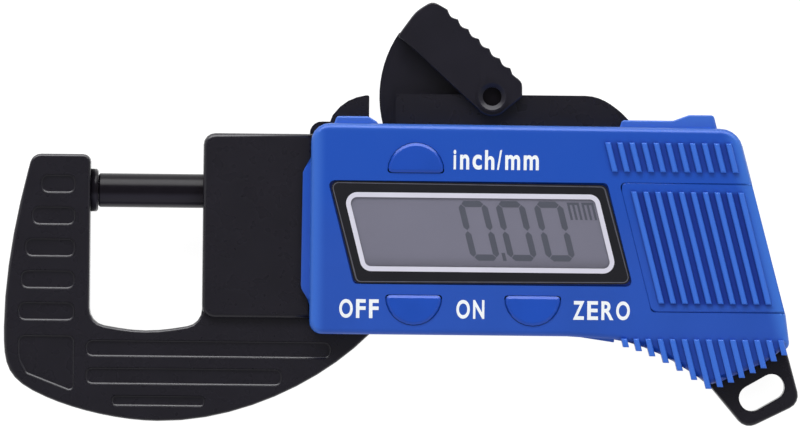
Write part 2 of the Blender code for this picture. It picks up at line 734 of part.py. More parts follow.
def build_scale_strip(surface, parent):
    bottom = AXIS_Z + CARRIAGE_THICKNESS / 2 + CLEARANCE
    strip = prism("scale_strip", rectangle(
        CARRIAGE_START_X + CARRIAGE_HEAD, CARRIAGE_WALL_X, CARRIAGE_BOTTOM_Y + CLEARANCE,
        CARRIAGE_BOTTOM_Y + CARRIAGE_FLOOR), bottom, bottom + SCALE_THICKNESS)
    return finish(strip, "scale_strip", surface, parent, parent.location)


def build_spring_guide(surface, parent):
    flange = 0.0010
    tail = 0.0030
    tip = SPRING_SEAT_X - (SPRING_SEAT_X - CARRIAGE_END_X - STROKE) + 0.0016
    profile = [
        (0, SPRING_GUIDE_RADIUS),
        (tail, SPRING_GUIDE_RADIUS),
        (tail, SPRING_MEAN_RADIUS + 2 * SPRING_WIRE_RADIUS),
        (tail + flange, SPRING_MEAN_RADIUS + 2 * SPRING_WIRE_RADIUS),
        (tail + flange, SPRING_GUIDE_RADIUS),
        (SPRING_SEAT_X + tail - tip, SPRING_GUIDE_RADIUS),
    ]
    guide = turned("spring_guide", profile, (SPRING_SEAT_X + tail, 0, AXIS_Z), (-1, 0, 0), 16)
    return finish(guide, "spring_guide", surface, parent)


def build_return_spring(surface, parent):
    """Sweep round wire along a coil that fills the space behind the carriage."""
    start = CARRIAGE_END_X + CLEARANCE + SPRING_WIRE_RADIUS
    end = SPRING_SEAT_X - 0.0010 - CLEARANCE - SPRING_WIRE_RADIUS
    steps_per_turn = 11
    count = SPRING_TURNS * steps_per_turn
    curve = bpy.data.curves.new("return_spring", "CURVE")
    curve.dimensions = "3D"
    curve.bevel_depth = SPRING_WIRE_RADIUS
    curve.bevel_resolution = 1
    curve.use_fill_caps = True
    spline = curve.splines.new("POLY")
    spline.points.add(count)
    for step in range(count + 1):
        angle = 2 * math.pi * step / steps_per_turn
        x = start + (end - start) * step / count
        y = SPRING_MEAN_RADIUS * math.cos(angle)
        z = AXIS_Z + SPRING_MEAN_RADIUS * math.sin(angle)
        spline.points[step].co = (x, y, z, 1)
    coil = bpy.data.objects.new("coil", curve)
    bpy.context.scene.collection.objects.link(coil)
    bpy.context.view_layer.update()
    graph = bpy.context.evaluated_depsgraph_get()
    mesh = welded(bpy.data.meshes.new_from_object(coil.evaluated_get(graph)))
    bpy.data.objects.remove(coil, do_unlink=True)
    spring = bpy.data.objects.new("return_spring", mesh)
    bpy.context.scene.collection.objects.link(spring)
    return finish(spring, "return_spring", surface, parent, parent.location, 60)


# Lever

def back_frame():
    """Return the pivot, and the directions square to the lever's back and along it."""
    normal = Vector((math.cos(BACK_ANGLE), math.sin(BACK_ANGLE)))
    return Vector((PIVOT_X, PIVOT_Y)), normal, Vector((-normal.y, normal.x))


def lever_corners():
    """Return the lever's side outline: a root round the pivot, a scalloped back and a round nose."""
    pivot, normal, along = back_frame()
    corners = [(0.0720, 0.0166, 0.0005), (0.0720, 0.0191, 0.0016), (0.0703, 0.0204, 0.0004)]
    for tooth in range(TOOTH_COUNT + 1):
        tip = pivot + normal * BACK_DISTANCE + along * (FIRST_TOOTH + tooth * TOOTH_PITCH)
        corners.append((tip.x, tip.y, 0))
        if tooth < TOOTH_COUNT:
            root = tip + along * TOOTH_PITCH / 2 - normal * TOOTH_DEPTH
            corners.append((root.x, root.y, TOOTH_RADIUS))
    corners += [
        (0.0566, 0.03275, 0.0016),
        (0.0538, 0.0310, 0.0060),
        (0.0507, 0.0267, 0.0004),
        (0.0522, 0.0256, 0.0010),
    ]
    start = math.radians(229)
    end = math.radians(300)
    steps = 6
    for step in range(steps + 1):
        angle = start + (end - start) * step / steps
        corners.append((*polar((PIVOT_X, PIVOT_Y), LEVER_ROOT_RADIUS, angle), 0))
    return corners


def lever_pocket_corners():
    """Return the hollow under the lever's back, open towards the frame's fin."""
    pivot, normal, along = back_frame()
    ceiling = pivot + normal * (BACK_DISTANCE - TOOTH_DEPTH - LEVER_TOP_WALL)
    right = ceiling - along * 0.0012
    left = ceiling + along * 0.0160
    nose = Vector(polar((PIVOT_X, PIVOT_Y), 0.0169, math.radians(147)))
    return [
        (right.x, right.y, 0.0008),
        (left.x, left.y, 0.0010),
        (nose.x, nose.y, 0.0004),
        (0.0480, 0.0180, 0),
        (PIVOT_X - 0.006, PIVOT_Y - 0.012, 0),
        (PIVOT_X + 0.009, PIVOT_Y - 0.012, 0),
        (PIVOT_X + 0.009, PIVOT_Y + 0.0006, 0),
        (PIVOT_X + 0.0036, PIVOT_Y + 0.0010, 0.0010),
    ]


def fan_corners():
    """Return the web's fan, which keeps the fin's slot closed while the lever swings."""
    corners = [(PIVOT_X, PIVOT_Y, 0)]
    for step in range(13):
        angle = FAN_TOP_ANGLE + (FAN_BOTTOM_ANGLE - FAN_TOP_ANGLE) * step / 12
        corners.append((*polar((PIVOT_X, PIVOT_Y), FAN_RADIUS, angle), 0))
    return corners


def arm_corners(half_width, inner, outer, radius=0.0):
    """Return a bar along the lever's arm, from an inner to an outer distance."""
    angle = math.radians(270) - ARM_HALF_ANGLE
    along = Vector((math.cos(angle), math.sin(angle)))
    across = Vector((-along.y, along.x))
    pivot = Vector((PIVOT_X, PIVOT_Y))
    corners = []
    for reach, side in ((inner, -1), (outer, -1), (outer, 1), (inner, 1)):
        point = pivot + along * reach + across * half_width * side
        corners.append((point.x, point.y, radius))
    return corners


def build_lever(surface, parent):
    half = LEVER_WIDTH / 2
    lever = prism("lever", lever_corners(), AXIS_Z - half, AXIS_Z + half,
                  (LEVER_EDGE_BEVEL, LEVER_EDGE_BEVEL), 3, 1)
    web_half = LEVER_WEB / 2
    pocket_outer = LEVER_INNER / 2
    pockets = [
        prism("pocket_front", lever_pocket_corners(), AXIS_Z + web_half, AXIS_Z + pocket_outer),
        prism("pocket_back", lever_pocket_corners(), AXIS_Z - pocket_outer, AXIS_Z - web_half),
    ]
    cut(lever, *pockets)
    fan = prism("fan", fan_corners(), AXIS_Z - web_half, AXIS_Z + web_half)
    arm = prism("arm", arm_corners(ARM_HALF_WIDTH, 0, ARM_LENGTH, 0.0004),
                AXIS_Z - web_half, AXIS_Z + web_half, steps=3)
    hole_radius = PIVOT_PIN_RADIUS + CLEARANCE
    dish = [(0, hole_radius), (PIVOT_DISH_DEPTH, PIVOT_DISH_RADIUS),
            (PIVOT_DISH_DEPTH + CUT_MARGIN, PIVOT_DISH_RADIUS)]
    bosses, dishes = [], []
    for side in (1, -1):
        top = AXIS_Z + side * (half + PIVOT_BOSS_HEIGHT)
        bosses.append(cylinder("boss", PIVOT_BOSS_RADIUS, LEVER_PLATE, (PIVOT_X, PIVOT_Y, top),
                               (0, 0, -side)))
        dishes.append(turned("dish", dish, (PIVOT_X, PIVOT_Y, top - side * PIVOT_DISH_DEPTH),
                             (0, 0, side), 24))
    add(lever, fan, arm, *bosses)
    pin_hole = cylinder("pin_hole", hole_radius, 2 * LEVER_WIDTH,
                        (PIVOT_X, PIVOT_Y, AXIS_Z - LEVER_WIDTH), (0, 0, 1), 24)
    fork = prism("fork", arm_corners(DRIVE_PIN_RADIUS + CLEARANCE, ARM_DROP - 0.0013,
                                     ARM_LENGTH + CUT_MARGIN, 0.0009),
                 AXIS_Z - LEVER_WEB, AXIS_Z + LEVER_WEB)
    cut(lever, *dishes, pin_hole, fork)
    return finish(lever, "thumb_lever", surface, parent, parent.location)


def build_pivot_pin(surface, parent):
    length = LEVER_WIDTH - 2 * PIN_RECESS
    pin = cylinder("lever_pivot_pin", PIVOT_PIN_RADIUS, length,
                   (PIVOT_X, PIVOT_Y, AXIS_Z - length / 2), (0, 0, 1), 20)
    return finish(pin, "lever_pivot_pin", surface, parent)


# Housing

def housing_corners():
    """Return the housing's outline, seen from the front."""
    sweep = bezier((0.0880, -0.0245), (0.0930, -0.0251), (0.0985, -0.0279), (0.1034, -0.0315), 6)
    return [
        (HOUSING_LEFT_X, HOUSING_BOTTOM_Y, 0.0021),
        (0.0800, HOUSING_BOTTOM_Y, 0),
        *sweep,
        (0.1043, -0.0320, 0.0016),
        (0.1064, -0.0314, 0.0030),
        (0.1140, -0.0280, 0.0100),
        (0.1160, -0.0264, 0.0010),
        (0.1179, -0.0256, 0.0016),
        (right_edge_x(EDGE_BEND_Y), EDGE_BEND_Y, 0),
        (right_edge_x(HOUSING_TOP_Y), HOUSING_TOP_Y - 0.0003, 0.0040),
        (0.0700, HOUSING_TOP_Y, 0),
        (HOUSING_LEFT_X, HOUSING_TOP_Y, HOUSING_CORNER_RADIUS),
    ]


def lip_corners():
    """Return the low swelling of the front half's lower edge, just before its ribs."""
    inside = HOUSING_BOTTOM_Y + WALL / 2
    return [
        (0.0882, inside, 0),
        (0.0800, inside, 0),
        (0.0800, HOUSING_BOTTOM_Y + 0.0002, 0),
        (0.0846, -0.0245, 0.0200),
        (0.0880, -0.0250, 0.0001),
    ]


def rear_corners():
    """Return the rear half's outline: the front's, with a lip round the top left corner."""
    left, top = HOUSING_LEFT_X - REAR_LIP, HOUSING_TOP_Y + REAR_LIP
    radius = HOUSING_CORNER_RADIUS + REAR_LIP / 2
    reach = HOUSING_CORNER_RADIUS + 0.0008
    ramp = 0.0008
    return housing_corners()[:-1] + [
        (HOUSING_LEFT_X + reach + ramp, HOUSING_TOP_Y, 0),
        (HOUSING_LEFT_X + reach, top, 0),
        (left, top, radius),
        (left, HOUSING_TOP_Y - reach, 0),
        (HOUSING_LEFT_X, HOUSING_TOP_Y - reach - ramp, 0),
    ]


def skirt_corners():
    """Return the lower step of the housing, which bulges over the block at the left."""
    inside = 0.0400
    upper = bezier((0.0366, 0.0074), (0.0362, 0.0050), (0.0348, 0.0043), (SKIRT_LEFT_X, 0.0026), 6)
    lower = bezier((SKIRT_LEFT_X, -0.0158), (SKIRT_LEFT_X, -0.0172), (0.0362, -0.0172),
                   (0.0366, -0.0214), 6)
    return [(inside, 0.0074, 0), *upper, *lower, (0.0366, -0.0214, 0), (inside, -0.0214, 0)]


def rim_outlines():
    """Return the raised collars of the housing's top edge at both ends of the fin."""
    base = HOUSING_TOP_Y - 0.0015
    left = [(0.0396, base, 0), (0.0480, base, 0), (0.0474, 0.0121, 0.0006),
            (0.0459, 0.0130, 0.0010), (0.0405, 0.0130, 0.0006)]
    right = [
        (0.0883, base, 0), (0.1055, base, 0), (0.1046, 0.0138, 0.0006), (0.1004, 0.0138, 0.0014),
        (0.0977, 0.0128, 0.0014), (0.0890, 0.0128, 0.0006),
    ]
    return left, right


def well_radius():
    return CELL_RADIUS + 2 * CLEARANCE + CONTACT_THICKNESS + 0.0001


def cover_corners():
    """Return the battery cover's outline, which ends on the housing's slanted right edge."""
    top_left = COVER_LEFT_X
    bottom_left = COVER_LEFT_X + (COVER_TOP_Y - COVER_BOTTOM_Y) * math.tan(SLANT)
    return [
        (bottom_left, COVER_BOTTOM_Y, COVER_RADIUS),
        (right_edge_x(COVER_BOTTOM_Y), COVER_BOTTOM_Y, 0),
        (right_edge_x(COVER_TOP_Y), COVER_TOP_Y, 0),
        (top_left, COVER_TOP_Y, COVER_RADIUS),
    ]


def bay_corners(side_gap, left_gap, right_gap):
    """Return the battery bay's outline: the cover's, moved out by a gap on each side."""
    outline = slanted(COVER_LEFT_X - left_gap - side_gap * math.tan(SLANT), 0.03,
                      COVER_TOP_Y + side_gap, COVER_BOTTOM_Y - side_gap)
    low, high = outline[0], outline[3]
    return [
        low,
        (right_edge_x(low[1]) + right_gap, low[1], 0),
        (right_edge_x(high[1]) + right_gap, high[1], 0),
        high,
    ]


def stretched_right(corners, distance):
    """Move a four-sided outline's right side outwards, past the housing's edge."""
    (a, b, c, d) = corners
    return [a, (b[0] + distance, b[1], 0), (c[0] + distance, c[1], 0), d]


def panel_corners(inset=0.0):
    corners = slanted(PANEL_TOP_LEFT_X, PANEL_WIDTH, PANEL_TOP_Y, PANEL_BOTTOM_Y, PANEL_RADIUS)
    return offset_corners(corners, inset)


def button_corners(button, grow=0.0):
    """Return a half-ellipse with a flat side, grown outwards by a distance."""
    centre_x, flat_y, side = button
    steps = 12
    corners = []
    for step in range(steps + 1):
        angle = math.pi * step / steps
        bulge = math.sin(angle)
        x = centre_x + math.cos(angle) * BUTTON_WIDTH / 2
        y = flat_y + side * bulge * BUTTON_HEIGHT
        radius = BUTTON_CORNER_RADIUS if step in (0, steps) else 0
        corners.append((x, y, radius))
    if side < 0:
        corners.reverse()
    return offset_corners(corners, -grow)


def rib(name, top_x, top_y, bottom_y, bottom, top):
    """Return one slanted grip rib with square ends."""
    outline = slanted(top_x, RIB_WIDTH, top_y, bottom_y, 0)
    return prism(name, outline, bottom, top, (0, RIB_EDGE), 1, 1)


def outline_bottom_y(x):
    """Return the housing's lower edge at x, to end the lower ribs just beyond it."""
    points = rounded(housing_corners(), 3)
    lowest = 0.0
    for (x0, y0), (x1, y1) in zip(points, points[1:] + points[:1]):
        if min(x0, x1) <= x <= max(x0, x1) and abs(x1 - x0) > 1e-9:
            lowest = min(lowest, y0 + (y1 - y0) * (x - x0) / (x1 - x0))
    return lowest


def lower_ribs(bottom, top):
    """Return the ribs that wrap the lower right corner and stand beyond its edge."""
    top_y = -0.0243
    ribs = []
    for number in range(BOTTOM_RIB_COUNT):
        top_x = BOTTOM_RIB_X + number * RIB_PITCH
        reach = top_y
        for _ in range(4):
            middle_x = top_x + RIB_WIDTH / 2 + (top_y - reach) * math.tan(SLANT)
            reach = min(outline_bottom_y(middle_x) - RIB_PROUD, top_y - 0.0010)
        ribs.append(rib(f"low_rib_{number}", top_x, top_y, reach, bottom, top))
    return ribs


def frame_passage(side):
    """Return cutters that let the frame pass through one half of the housing; side is 1 or -1."""
    gap = CLEARANCE
    tail = [(0.0990, -0.0190, 0), (0.0990, -0.0400, 0), (0.1200, -0.0400, 0),
            (0.1200, -0.0270, 0), (0.1164, -0.0225, 0), (0.1164, -0.0190, 0)]
    openings = (
        ("block", rectangle(0.0300, HOUSING_LEFT_X + WALL + CUT_MARGIN, BLOCK_BOTTOM_Y - gap,
                            BLOCK_TOP_Y + gap), BLOCK_THICKNESS),
        ("jaw", rectangle(0.0300, 0.0465 + gap, -0.0300, BEAM_BOTTOM_Y), JAW_THICKNESS),
        ("fin", rectangle(0.0377, 0.0939, 0.0080, 0.0200), CORE_THICKNESS),
        ("tail", tail, TAIL_THICKNESS),
    )
    pieces = []
    for name, outline, thickness in openings:
        low, high = sorted((AXIS_Z - side * CUT_MARGIN, AXIS_Z + side * (thickness / 2 + gap)))
        pieces.append(prism(f"pass_{name}", outline, low, high))
    return pieces


def boss(name, position, radius, bottom, top):
    x, y = position
    return cylinder(name, radius, top - bottom, (x, y, bottom), (0, 0, 1), 16)


def build_front_housing(surface, parent):
    bottom = AXIS_Z + PARTING_GAP / 2
    outline = housing_corners()
    front = prism("front", outline, bottom, BODY_THICKNESS, (0, HOUSING_EDGE_BEVEL), 5, 2)
    skirt = prism("skirt", skirt_corners(), bottom, SKIRT_TOP_Z, (0, 0.0004), 4, 1)
    left_rim, right_rim = rim_outlines()
    rims = [prism("rim_left", left_rim, bottom, RIM_TOP_Z, (0, 0.0003), 3, 1),
            prism("rim_right", right_rim, bottom, RIM_TOP_Z, (0, 0.0003), 3, 1)]
    ribs = [rib(f"top_rib_{n}", TOP_RIB_X + n * RIB_PITCH, 0.0090, 0.0040,
                BODY_THICKNESS - WALL / 2, BODY_THICKNESS + RIB_HEIGHT) for n in range(TOP_RIB_COUNT)]
    ribs += lower_ribs(bottom, BODY_THICKNESS + RIB_HEIGHT)
    lip = prism("lip", lip_corners(), bottom, BODY_THICKNESS - HOUSING_EDGE_BEVEL)
    add(front, skirt, *rims, lip, *ribs)
    cavity = prism("cavity", offset_corners(outline, WALL), 0, FACE_INNER_Z)
    cut(front, cavity)

    bay_top = FACE_INNER_Z + WALL / 2
    reach = COVER_TONGUE + CLEARANCE
    bay_walls = prism("bay_walls", bay_corners(reach + BAY_WALL, CLEARANCE + BAY_WALL, -WALL / 2),
                      BAY_FLOOR_Z, bay_top)
    well = boss("well", (CELL_X, CELL_Y), well_radius() + WELL_WALL, WELL_FLOOR_Z,
                BAY_FLOOR_Z + BAY_FLOOR / 2)
    posts = [boss(f"post_{n}", spot, SCREW_RADIUS + CLEARANCE + BOSS_WALL, CORE_TOP_Z + CLEARANCE,
                  FACE_INNER_Z + WALL / 2) for n, spot in enumerate(HOUSING_SCREWS)]
    board_posts = [boss(f"board_post_{n}", spot, SCREW_RADIUS + CLEARANCE + BOSS_WALL,
                        BOARD_TOP_Z + CLEARANCE, FACE_INNER_Z + WALL / 2)
                   for n, spot in enumerate(BOARD_SCREWS)]
    add(front, bay_walls, well, *posts, *board_posts)

    bay_room = prism("bay_room", bay_corners(reach, CLEARANCE, 0.010), BAY_FLOOR_Z + BAY_FLOOR,
                     FACE_INNER_Z)
    cover_gap = prism("cover_gap", offset_corners(stretched_right(cover_corners(), 0.010), -CLEARANCE),
                      BAY_FLOOR_Z + BAY_FLOOR + 0.0001, BODY_THICKNESS + 0.002, steps=4)
    well_room = boss("well_room", (CELL_X, CELL_Y), well_radius(), WELL_FLOOR_Z + WELL_FLOOR,
                     BODY_THICKNESS)
    recess = prism("recess", panel_corners(-CLEARANCE), BODY_THICKNESS - PANEL_RECESS,
                   BODY_THICKNESS + 0.002)
    window = prism("window", panel_corners(PANEL_LEDGE), FACE_INNER_Z - 0.001, BODY_THICKNESS)
    button_holes = [prism(f"button_hole_{n}", button_corners(button, CLEARANCE), FACE_INNER_Z - 0.001,
                          BODY_THICKNESS + 0.001, steps=4)
                    for n, button in enumerate((UNIT_BUTTON, POWER_BUTTON, ZERO_BUTTON))]
    pilots = [boss(f"pilot_{n}", spot, SCREW_RADIUS + CLEARANCE, 0, FACE_INNER_Z)
              for n, spot in enumerate(HOUSING_SCREWS + BOARD_SCREWS)]
    cut(front, bay_room, cover_gap, well_room, recess, window, *button_holes, *pilots)
    cut(front, *frame_passage(1))
    return finish(front, "front_housing", surface, parent)


def build_rear_housing(surface, parent):
    top = AXIS_Z - PARTING_GAP / 2
    rear = prism("rear", rear_corners(), 0, top, (HOUSING_EDGE_BEVEL, 0), 5, 2)
    skirt = prism("skirt", skirt_corners(), BODY_THICKNESS - SKIRT_TOP_Z, top, (0.0004, 0), 4, 1)
    left_rim, right_rim = rim_outlines()
    rim_bottom = BODY_THICKNESS - RIM_TOP_Z
    rims = [prism("rim_left", left_rim, rim_bottom, top, (0.0003, 0), 3, 1),
            prism("rim_right", right_rim, rim_bottom, top, (0.0003, 0), 3, 1)]
    add(rear, skirt, *rims)
    cavity = prism("cavity", offset_corners(housing_corners(), WALL), WALL, BODY_THICKNESS, steps=4)
    cut(rear, cavity)
    head_room = SCREW_HEAD_RADIUS + CLEARANCE
    posts = [boss(f"post_{n}", spot, head_room + BOSS_WALL * 0.8, WALL / 2, CORE_BOTTOM_Z - CLEARANCE)
             for n, spot in enumerate(HOUSING_SCREWS)]
    add(rear, *posts)
    seat_top = SCREW_HEAD_DEPTH + SCREW_HEAD_HEIGHT + CLEARANCE
    seats = [boss(f"seat_{n}", spot, head_room, -CUT_MARGIN, seat_top)
             for n, spot in enumerate(HOUSING_SCREWS)]
    holes = [boss(f"hole_{n}", spot, SCREW_RADIUS + CLEARANCE, 0, AXIS_Z)
             for n, spot in enumerate(HOUSING_SCREWS)]
    cut(rear, *seats, *holes)
    cut(rear, *frame_passage(-1))
    return finish(rear, "rear_housing", surface, parent)


# Display, buttons and board

def build_lens(surface, parent):
    bottom = BODY_THICKNESS - PANEL_RECESS + CLEARANCE
    lens = prism("display_lens", panel_corners(), bottom, bottom + LENS_THICKNESS, (0, 0.0001), 5, 1)
    return finish(lens, "display_lens", surface, parent)


def build_lcd(surface, parent):
    lcd = prism("lcd_panel", rectangle(LCD_LEFT_X, LCD_RIGHT_X, LCD_BOTTOM_Y, LCD_TOP_Y),
                LCD_BOTTOM_Z, LCD_TOP_Z)
    return finish(lcd, "lcd_panel", surface, parent)


def build_connector(surface, parent):
    gap = (LCD_BOTTOM_Z - BOARD_TOP_Z - 0.0008) / 2
    connector = prism("lcd_connector", rectangle(
        BOARD_LEFT_X + 0.003, LCD_RIGHT_X - 0.004, LCD_BOTTOM_Y, LCD_BOTTOM_Y + CONNECTOR_WIDTH),
        BOARD_TOP_Z + gap, LCD_BOTTOM_Z - gap)
    return finish(connector, "lcd_connector", surface, parent)


def build_board(surface, parent):
    board = prism("board", rectangle(BOARD_LEFT_X, BOARD_RIGHT_X, BOARD_BOTTOM_Y, BOARD_TOP_Y, 0.0010),
                  BOARD_BOTTOM_Z, BOARD_TOP_Z)
    well_notch = boss("well_notch", (CELL_X, CELL_Y), well_radius() + WELL_WALL + CLEARANCE, 0,
                      BODY_THICKNESS)
    holes = [boss(f"hole_{n}", spot, SCREW_RADIUS + CLEARANCE, 0, BODY_THICKNESS)
             for n, spot in enumerate(BOARD_SCREWS)]
    cut(board, well_notch, *holes)
    return finish(board, "circuit_board", surface, parent)


def build_chip(surface, parent):
    half = CHIP_SIZE / 2
    bottom = BOARD_TOP_Z + CLEARANCE
    outline = rectangle(CHIP_X - half, CHIP_X + half, CHIP_Y - half / 1.5, CHIP_Y + half / 1.5)
    chip = prism("measuring_chip", outline, bottom, bottom + CHIP_HEIGHT, (0, 0.0002), 1, 1)
    return finish(chip, "measuring_chip", surface, parent)


def build_button(name, button, surface, parent):
    cap = prism("cap", button_corners(button), BUTTON_FOOT_Z, BODY_THICKNESS + BUTTON_RISE,
                (0, BUTTON_EDGE_BEVEL), 2, 2)
    centre_x, flat_y, side = button
    reach = BUTTON_WIDTH / 2 + BUTTON_EAR
    ear_end = BUTTON_EAR_START + BUTTON_EAR_WIDTH
    low, high = sorted((flat_y + side * BUTTON_EAR_START, flat_y + side * ear_end))
    ears = prism("ears", rectangle(centre_x - reach, centre_x + reach, low, high),
                 BUTTON_FOOT_Z + 0.0001, BUTTON_FOOT_Z + BUTTON_EAR_THICKNESS)
    add(cap, ears)
    return finish(cap, name, surface, parent, parent.location)


def build_switch_dome(name, button, surface, parent):
    x, flat_y, side = button
    bottom = BOARD_TOP_Z + CLEARANCE
    profile = [(0, DOME_RADIUS), (DOME_HEIGHT * 0.5, DOME_RADIUS * 0.8),
               (DOME_HEIGHT, DOME_RADIUS * 0.35)]
    dome = turned(name, profile, (x, flat_y + side * BUTTON_HEIGHT * 0.45, bottom), (0, 0, 1), 14)
    return finish(dome, name, surface, parent)


# Battery

def build_cell(surface, parent):
    bevel = 0.0005
    rim = CELL_RADIUS - 0.0009
    profile = [
        (0, rim), (0.0003, rim), (0.0003, CELL_RADIUS - bevel), (0.0003 + bevel, CELL_RADIUS),
        (CELL_HEIGHT - bevel, CELL_RADIUS), (CELL_HEIGHT, CELL_RADIUS - bevel),
    ]
    cell = turned("battery_cell", profile, (CELL_X, CELL_Y, CELL_TOP_Z - CELL_HEIGHT), (0, 0, 1), 28)
    return finish(cell, "battery_cell", surface, parent)


def build_contacts(surface, parent):
    bottom = WELL_FLOOR_Z + WELL_FLOOR + CLEARANCE
    strip = rectangle(CELL_X - 0.0045, CELL_X + 0.0045, CELL_Y - 0.0016, CELL_Y + 0.0016, 0.0006)
    negative = prism("negative", strip, bottom, bottom + CONTACT_THICKNESS)
    finish(negative, "battery_contact_negative", surface, parent)
    inner = CELL_RADIUS + CLEARANCE
    corners = []
    for radius, steps in ((inner, range(5)), (inner + CONTACT_THICKNESS, range(4, -1, -1))):
        for step in steps:
            angle = math.radians(170 + 10 * step)
            corners.append((*polar((CELL_X, CELL_Y), radius, angle), 0))
    corners.reverse()
    positive = prism("positive", corners, bottom + 0.0010, CELL_TOP_Z - 0.0010)
    return finish(positive, "battery_contact_positive", surface, parent)


def build_cover(surface, parent):
    """The cover is a plate with two edge strips and tongues that run under the housing's face."""
    bottom = BODY_THICKNESS - COVER_THICKNESS
    tongue_top = FACE_INNER_Z - CLEARANCE
    tongue_bottom = tongue_top - COVER_TONGUE_THICKNESS
    outline = cover_corners()
    cover = prism("cover", outline, bottom, BODY_THICKNESS, (0, 0.0002), 4, 1)
    left = max(corner[0] for corner in outline if corner[0] < CELL_X) + 0.0010
    pieces = []
    for edge_y, inward in ((COVER_TOP_Y, -1), (COVER_BOTTOM_Y, 1)):
        inner_y = edge_y + inward * COVER_EDGE
        outer_y = edge_y - inward * COVER_TONGUE
        right = right_edge_x(max(edge_y, outer_y)) - 0.0006
        low, high = sorted((inner_y, edge_y))
        pieces.append(prism("strip", rectangle(left, right, low + 0.00005, high - 0.00005),
                            tongue_bottom + 0.0001, BODY_THICKNESS - COVER_THICKNESS / 2))
        low, high = sorted((inner_y, outer_y))
        pieces.append(prism("tongue", rectangle(left + 0.0005, right - 0.0005, low, high),
                            tongue_bottom, tongue_top))
    lip = bay_corners(COVER_TONGUE, 0, 0)
    lip = [(right_edge_x(lip[1][1]) - WALL, lip[1][1], 0), lip[1], lip[2],
           (right_edge_x(lip[2][1]) - WALL, lip[2][1], 0)]
    pieces.append(prism("lip", lip, tongue_bottom + 0.00005, tongue_top - 0.00005))
    lip = [(right_edge_x(COVER_BOTTOM_Y) - WALL, COVER_BOTTOM_Y, 0), outline[1], outline[2],
           (right_edge_x(COVER_TOP_Y) - WALL, COVER_TOP_Y, 0)]
    pieces.append(prism("lip", lip, tongue_bottom + 0.00015, BODY_THICKNESS - COVER_THICKNESS / 3))
    rib_top, rib_bottom = COVER_TOP_Y - COVER_EDGE, COVER_BOTTOM_Y + COVER_EDGE
    ribs = [rib(f"cover_rib_{n}", COVER_RIB_X + n * COVER_RIB_PITCH, rib_top, rib_bottom,
                BODY_THICKNESS - COVER_THICKNESS / 2, BODY_THICKNESS + RIB_HEIGHT)
            for n in range(COVER_RIB_COUNT)]
    add(cover, *pieces, *ribs)
    trim = stretched_right(cover_corners(), 0.012)
    slack = 0.0002
    beyond = [
        (right_edge_x(-0.030) - slack, -0.030, 0), (right_edge_x(-0.030) + 0.02, -0.030, 0),
        (trim[2][0] + 0.02, 0.010, 0), (right_edge_x(0.010) - slack, 0.010, 0),
    ]
    cut(cover, prism("beyond", beyond, 0, BODY_THICKNESS + 0.002))
    return finish(cover, "battery_cover", surface, parent, parent.location)


# Screws

def slotted_screw(name, head_radius, head_height, shank, origin, surface, parent):
    """A pan-head screw that points up, with a straight slot in its head."""
    chamfer = head_height * 0.3
    profile = [
        (0, head_radius - chamfer), (chamfer, head_radius), (head_height, head_radius),
        (head_height, SCREW_RADIUS), (head_height + shank - SCREW_RADIUS * 0.6, SCREW_RADIUS),
        (head_height + shank, SCREW_RADIUS * 0.4),
    ]
    screw = turned(name, profile, origin, (0, 0, 1), 12)
    x, y, z = origin
    reach, half = 2 * head_radius, SLOT_WIDTH / 2
    slot = prism("slot", rectangle(x - reach, x + reach, y - half, y + half), z - CUT_MARGIN,
                 z + SLOT_DEPTH)
    cut(screw, slot)
    return finish(screw, name, surface, parent)


def build_screws(surface, parent):
    housing_shank = FACE_INNER_Z - CLEARANCE - SCREW_HEAD_DEPTH - SCREW_HEAD_HEIGHT - 0.0005
    for number, (x, y) in enumerate(HOUSING_SCREWS, 1):
        slotted_screw(f"housing_screw_{number}", SCREW_HEAD_RADIUS, SCREW_HEAD_HEIGHT, housing_shank,
                      (x, y, SCREW_HEAD_DEPTH), surface, parent)
    head_bottom = BOARD_BOTTOM_Z - CLEARANCE - BOARD_SCREW_HEAD_HEIGHT
    board_shank = FACE_INNER_Z - CLEARANCE - head_bottom - BOARD_SCREW_HEAD_HEIGHT
    for number, (x, y) in enumerate(BOARD_SCREWS, 1):
        slotted_screw(f"board_screw_{number}", BOARD_SCREW_HEAD_RADIUS, BOARD_SCREW_HEAD_HEIGHT,
                      board_shank, (x, y, head_bottom), surface, parent)


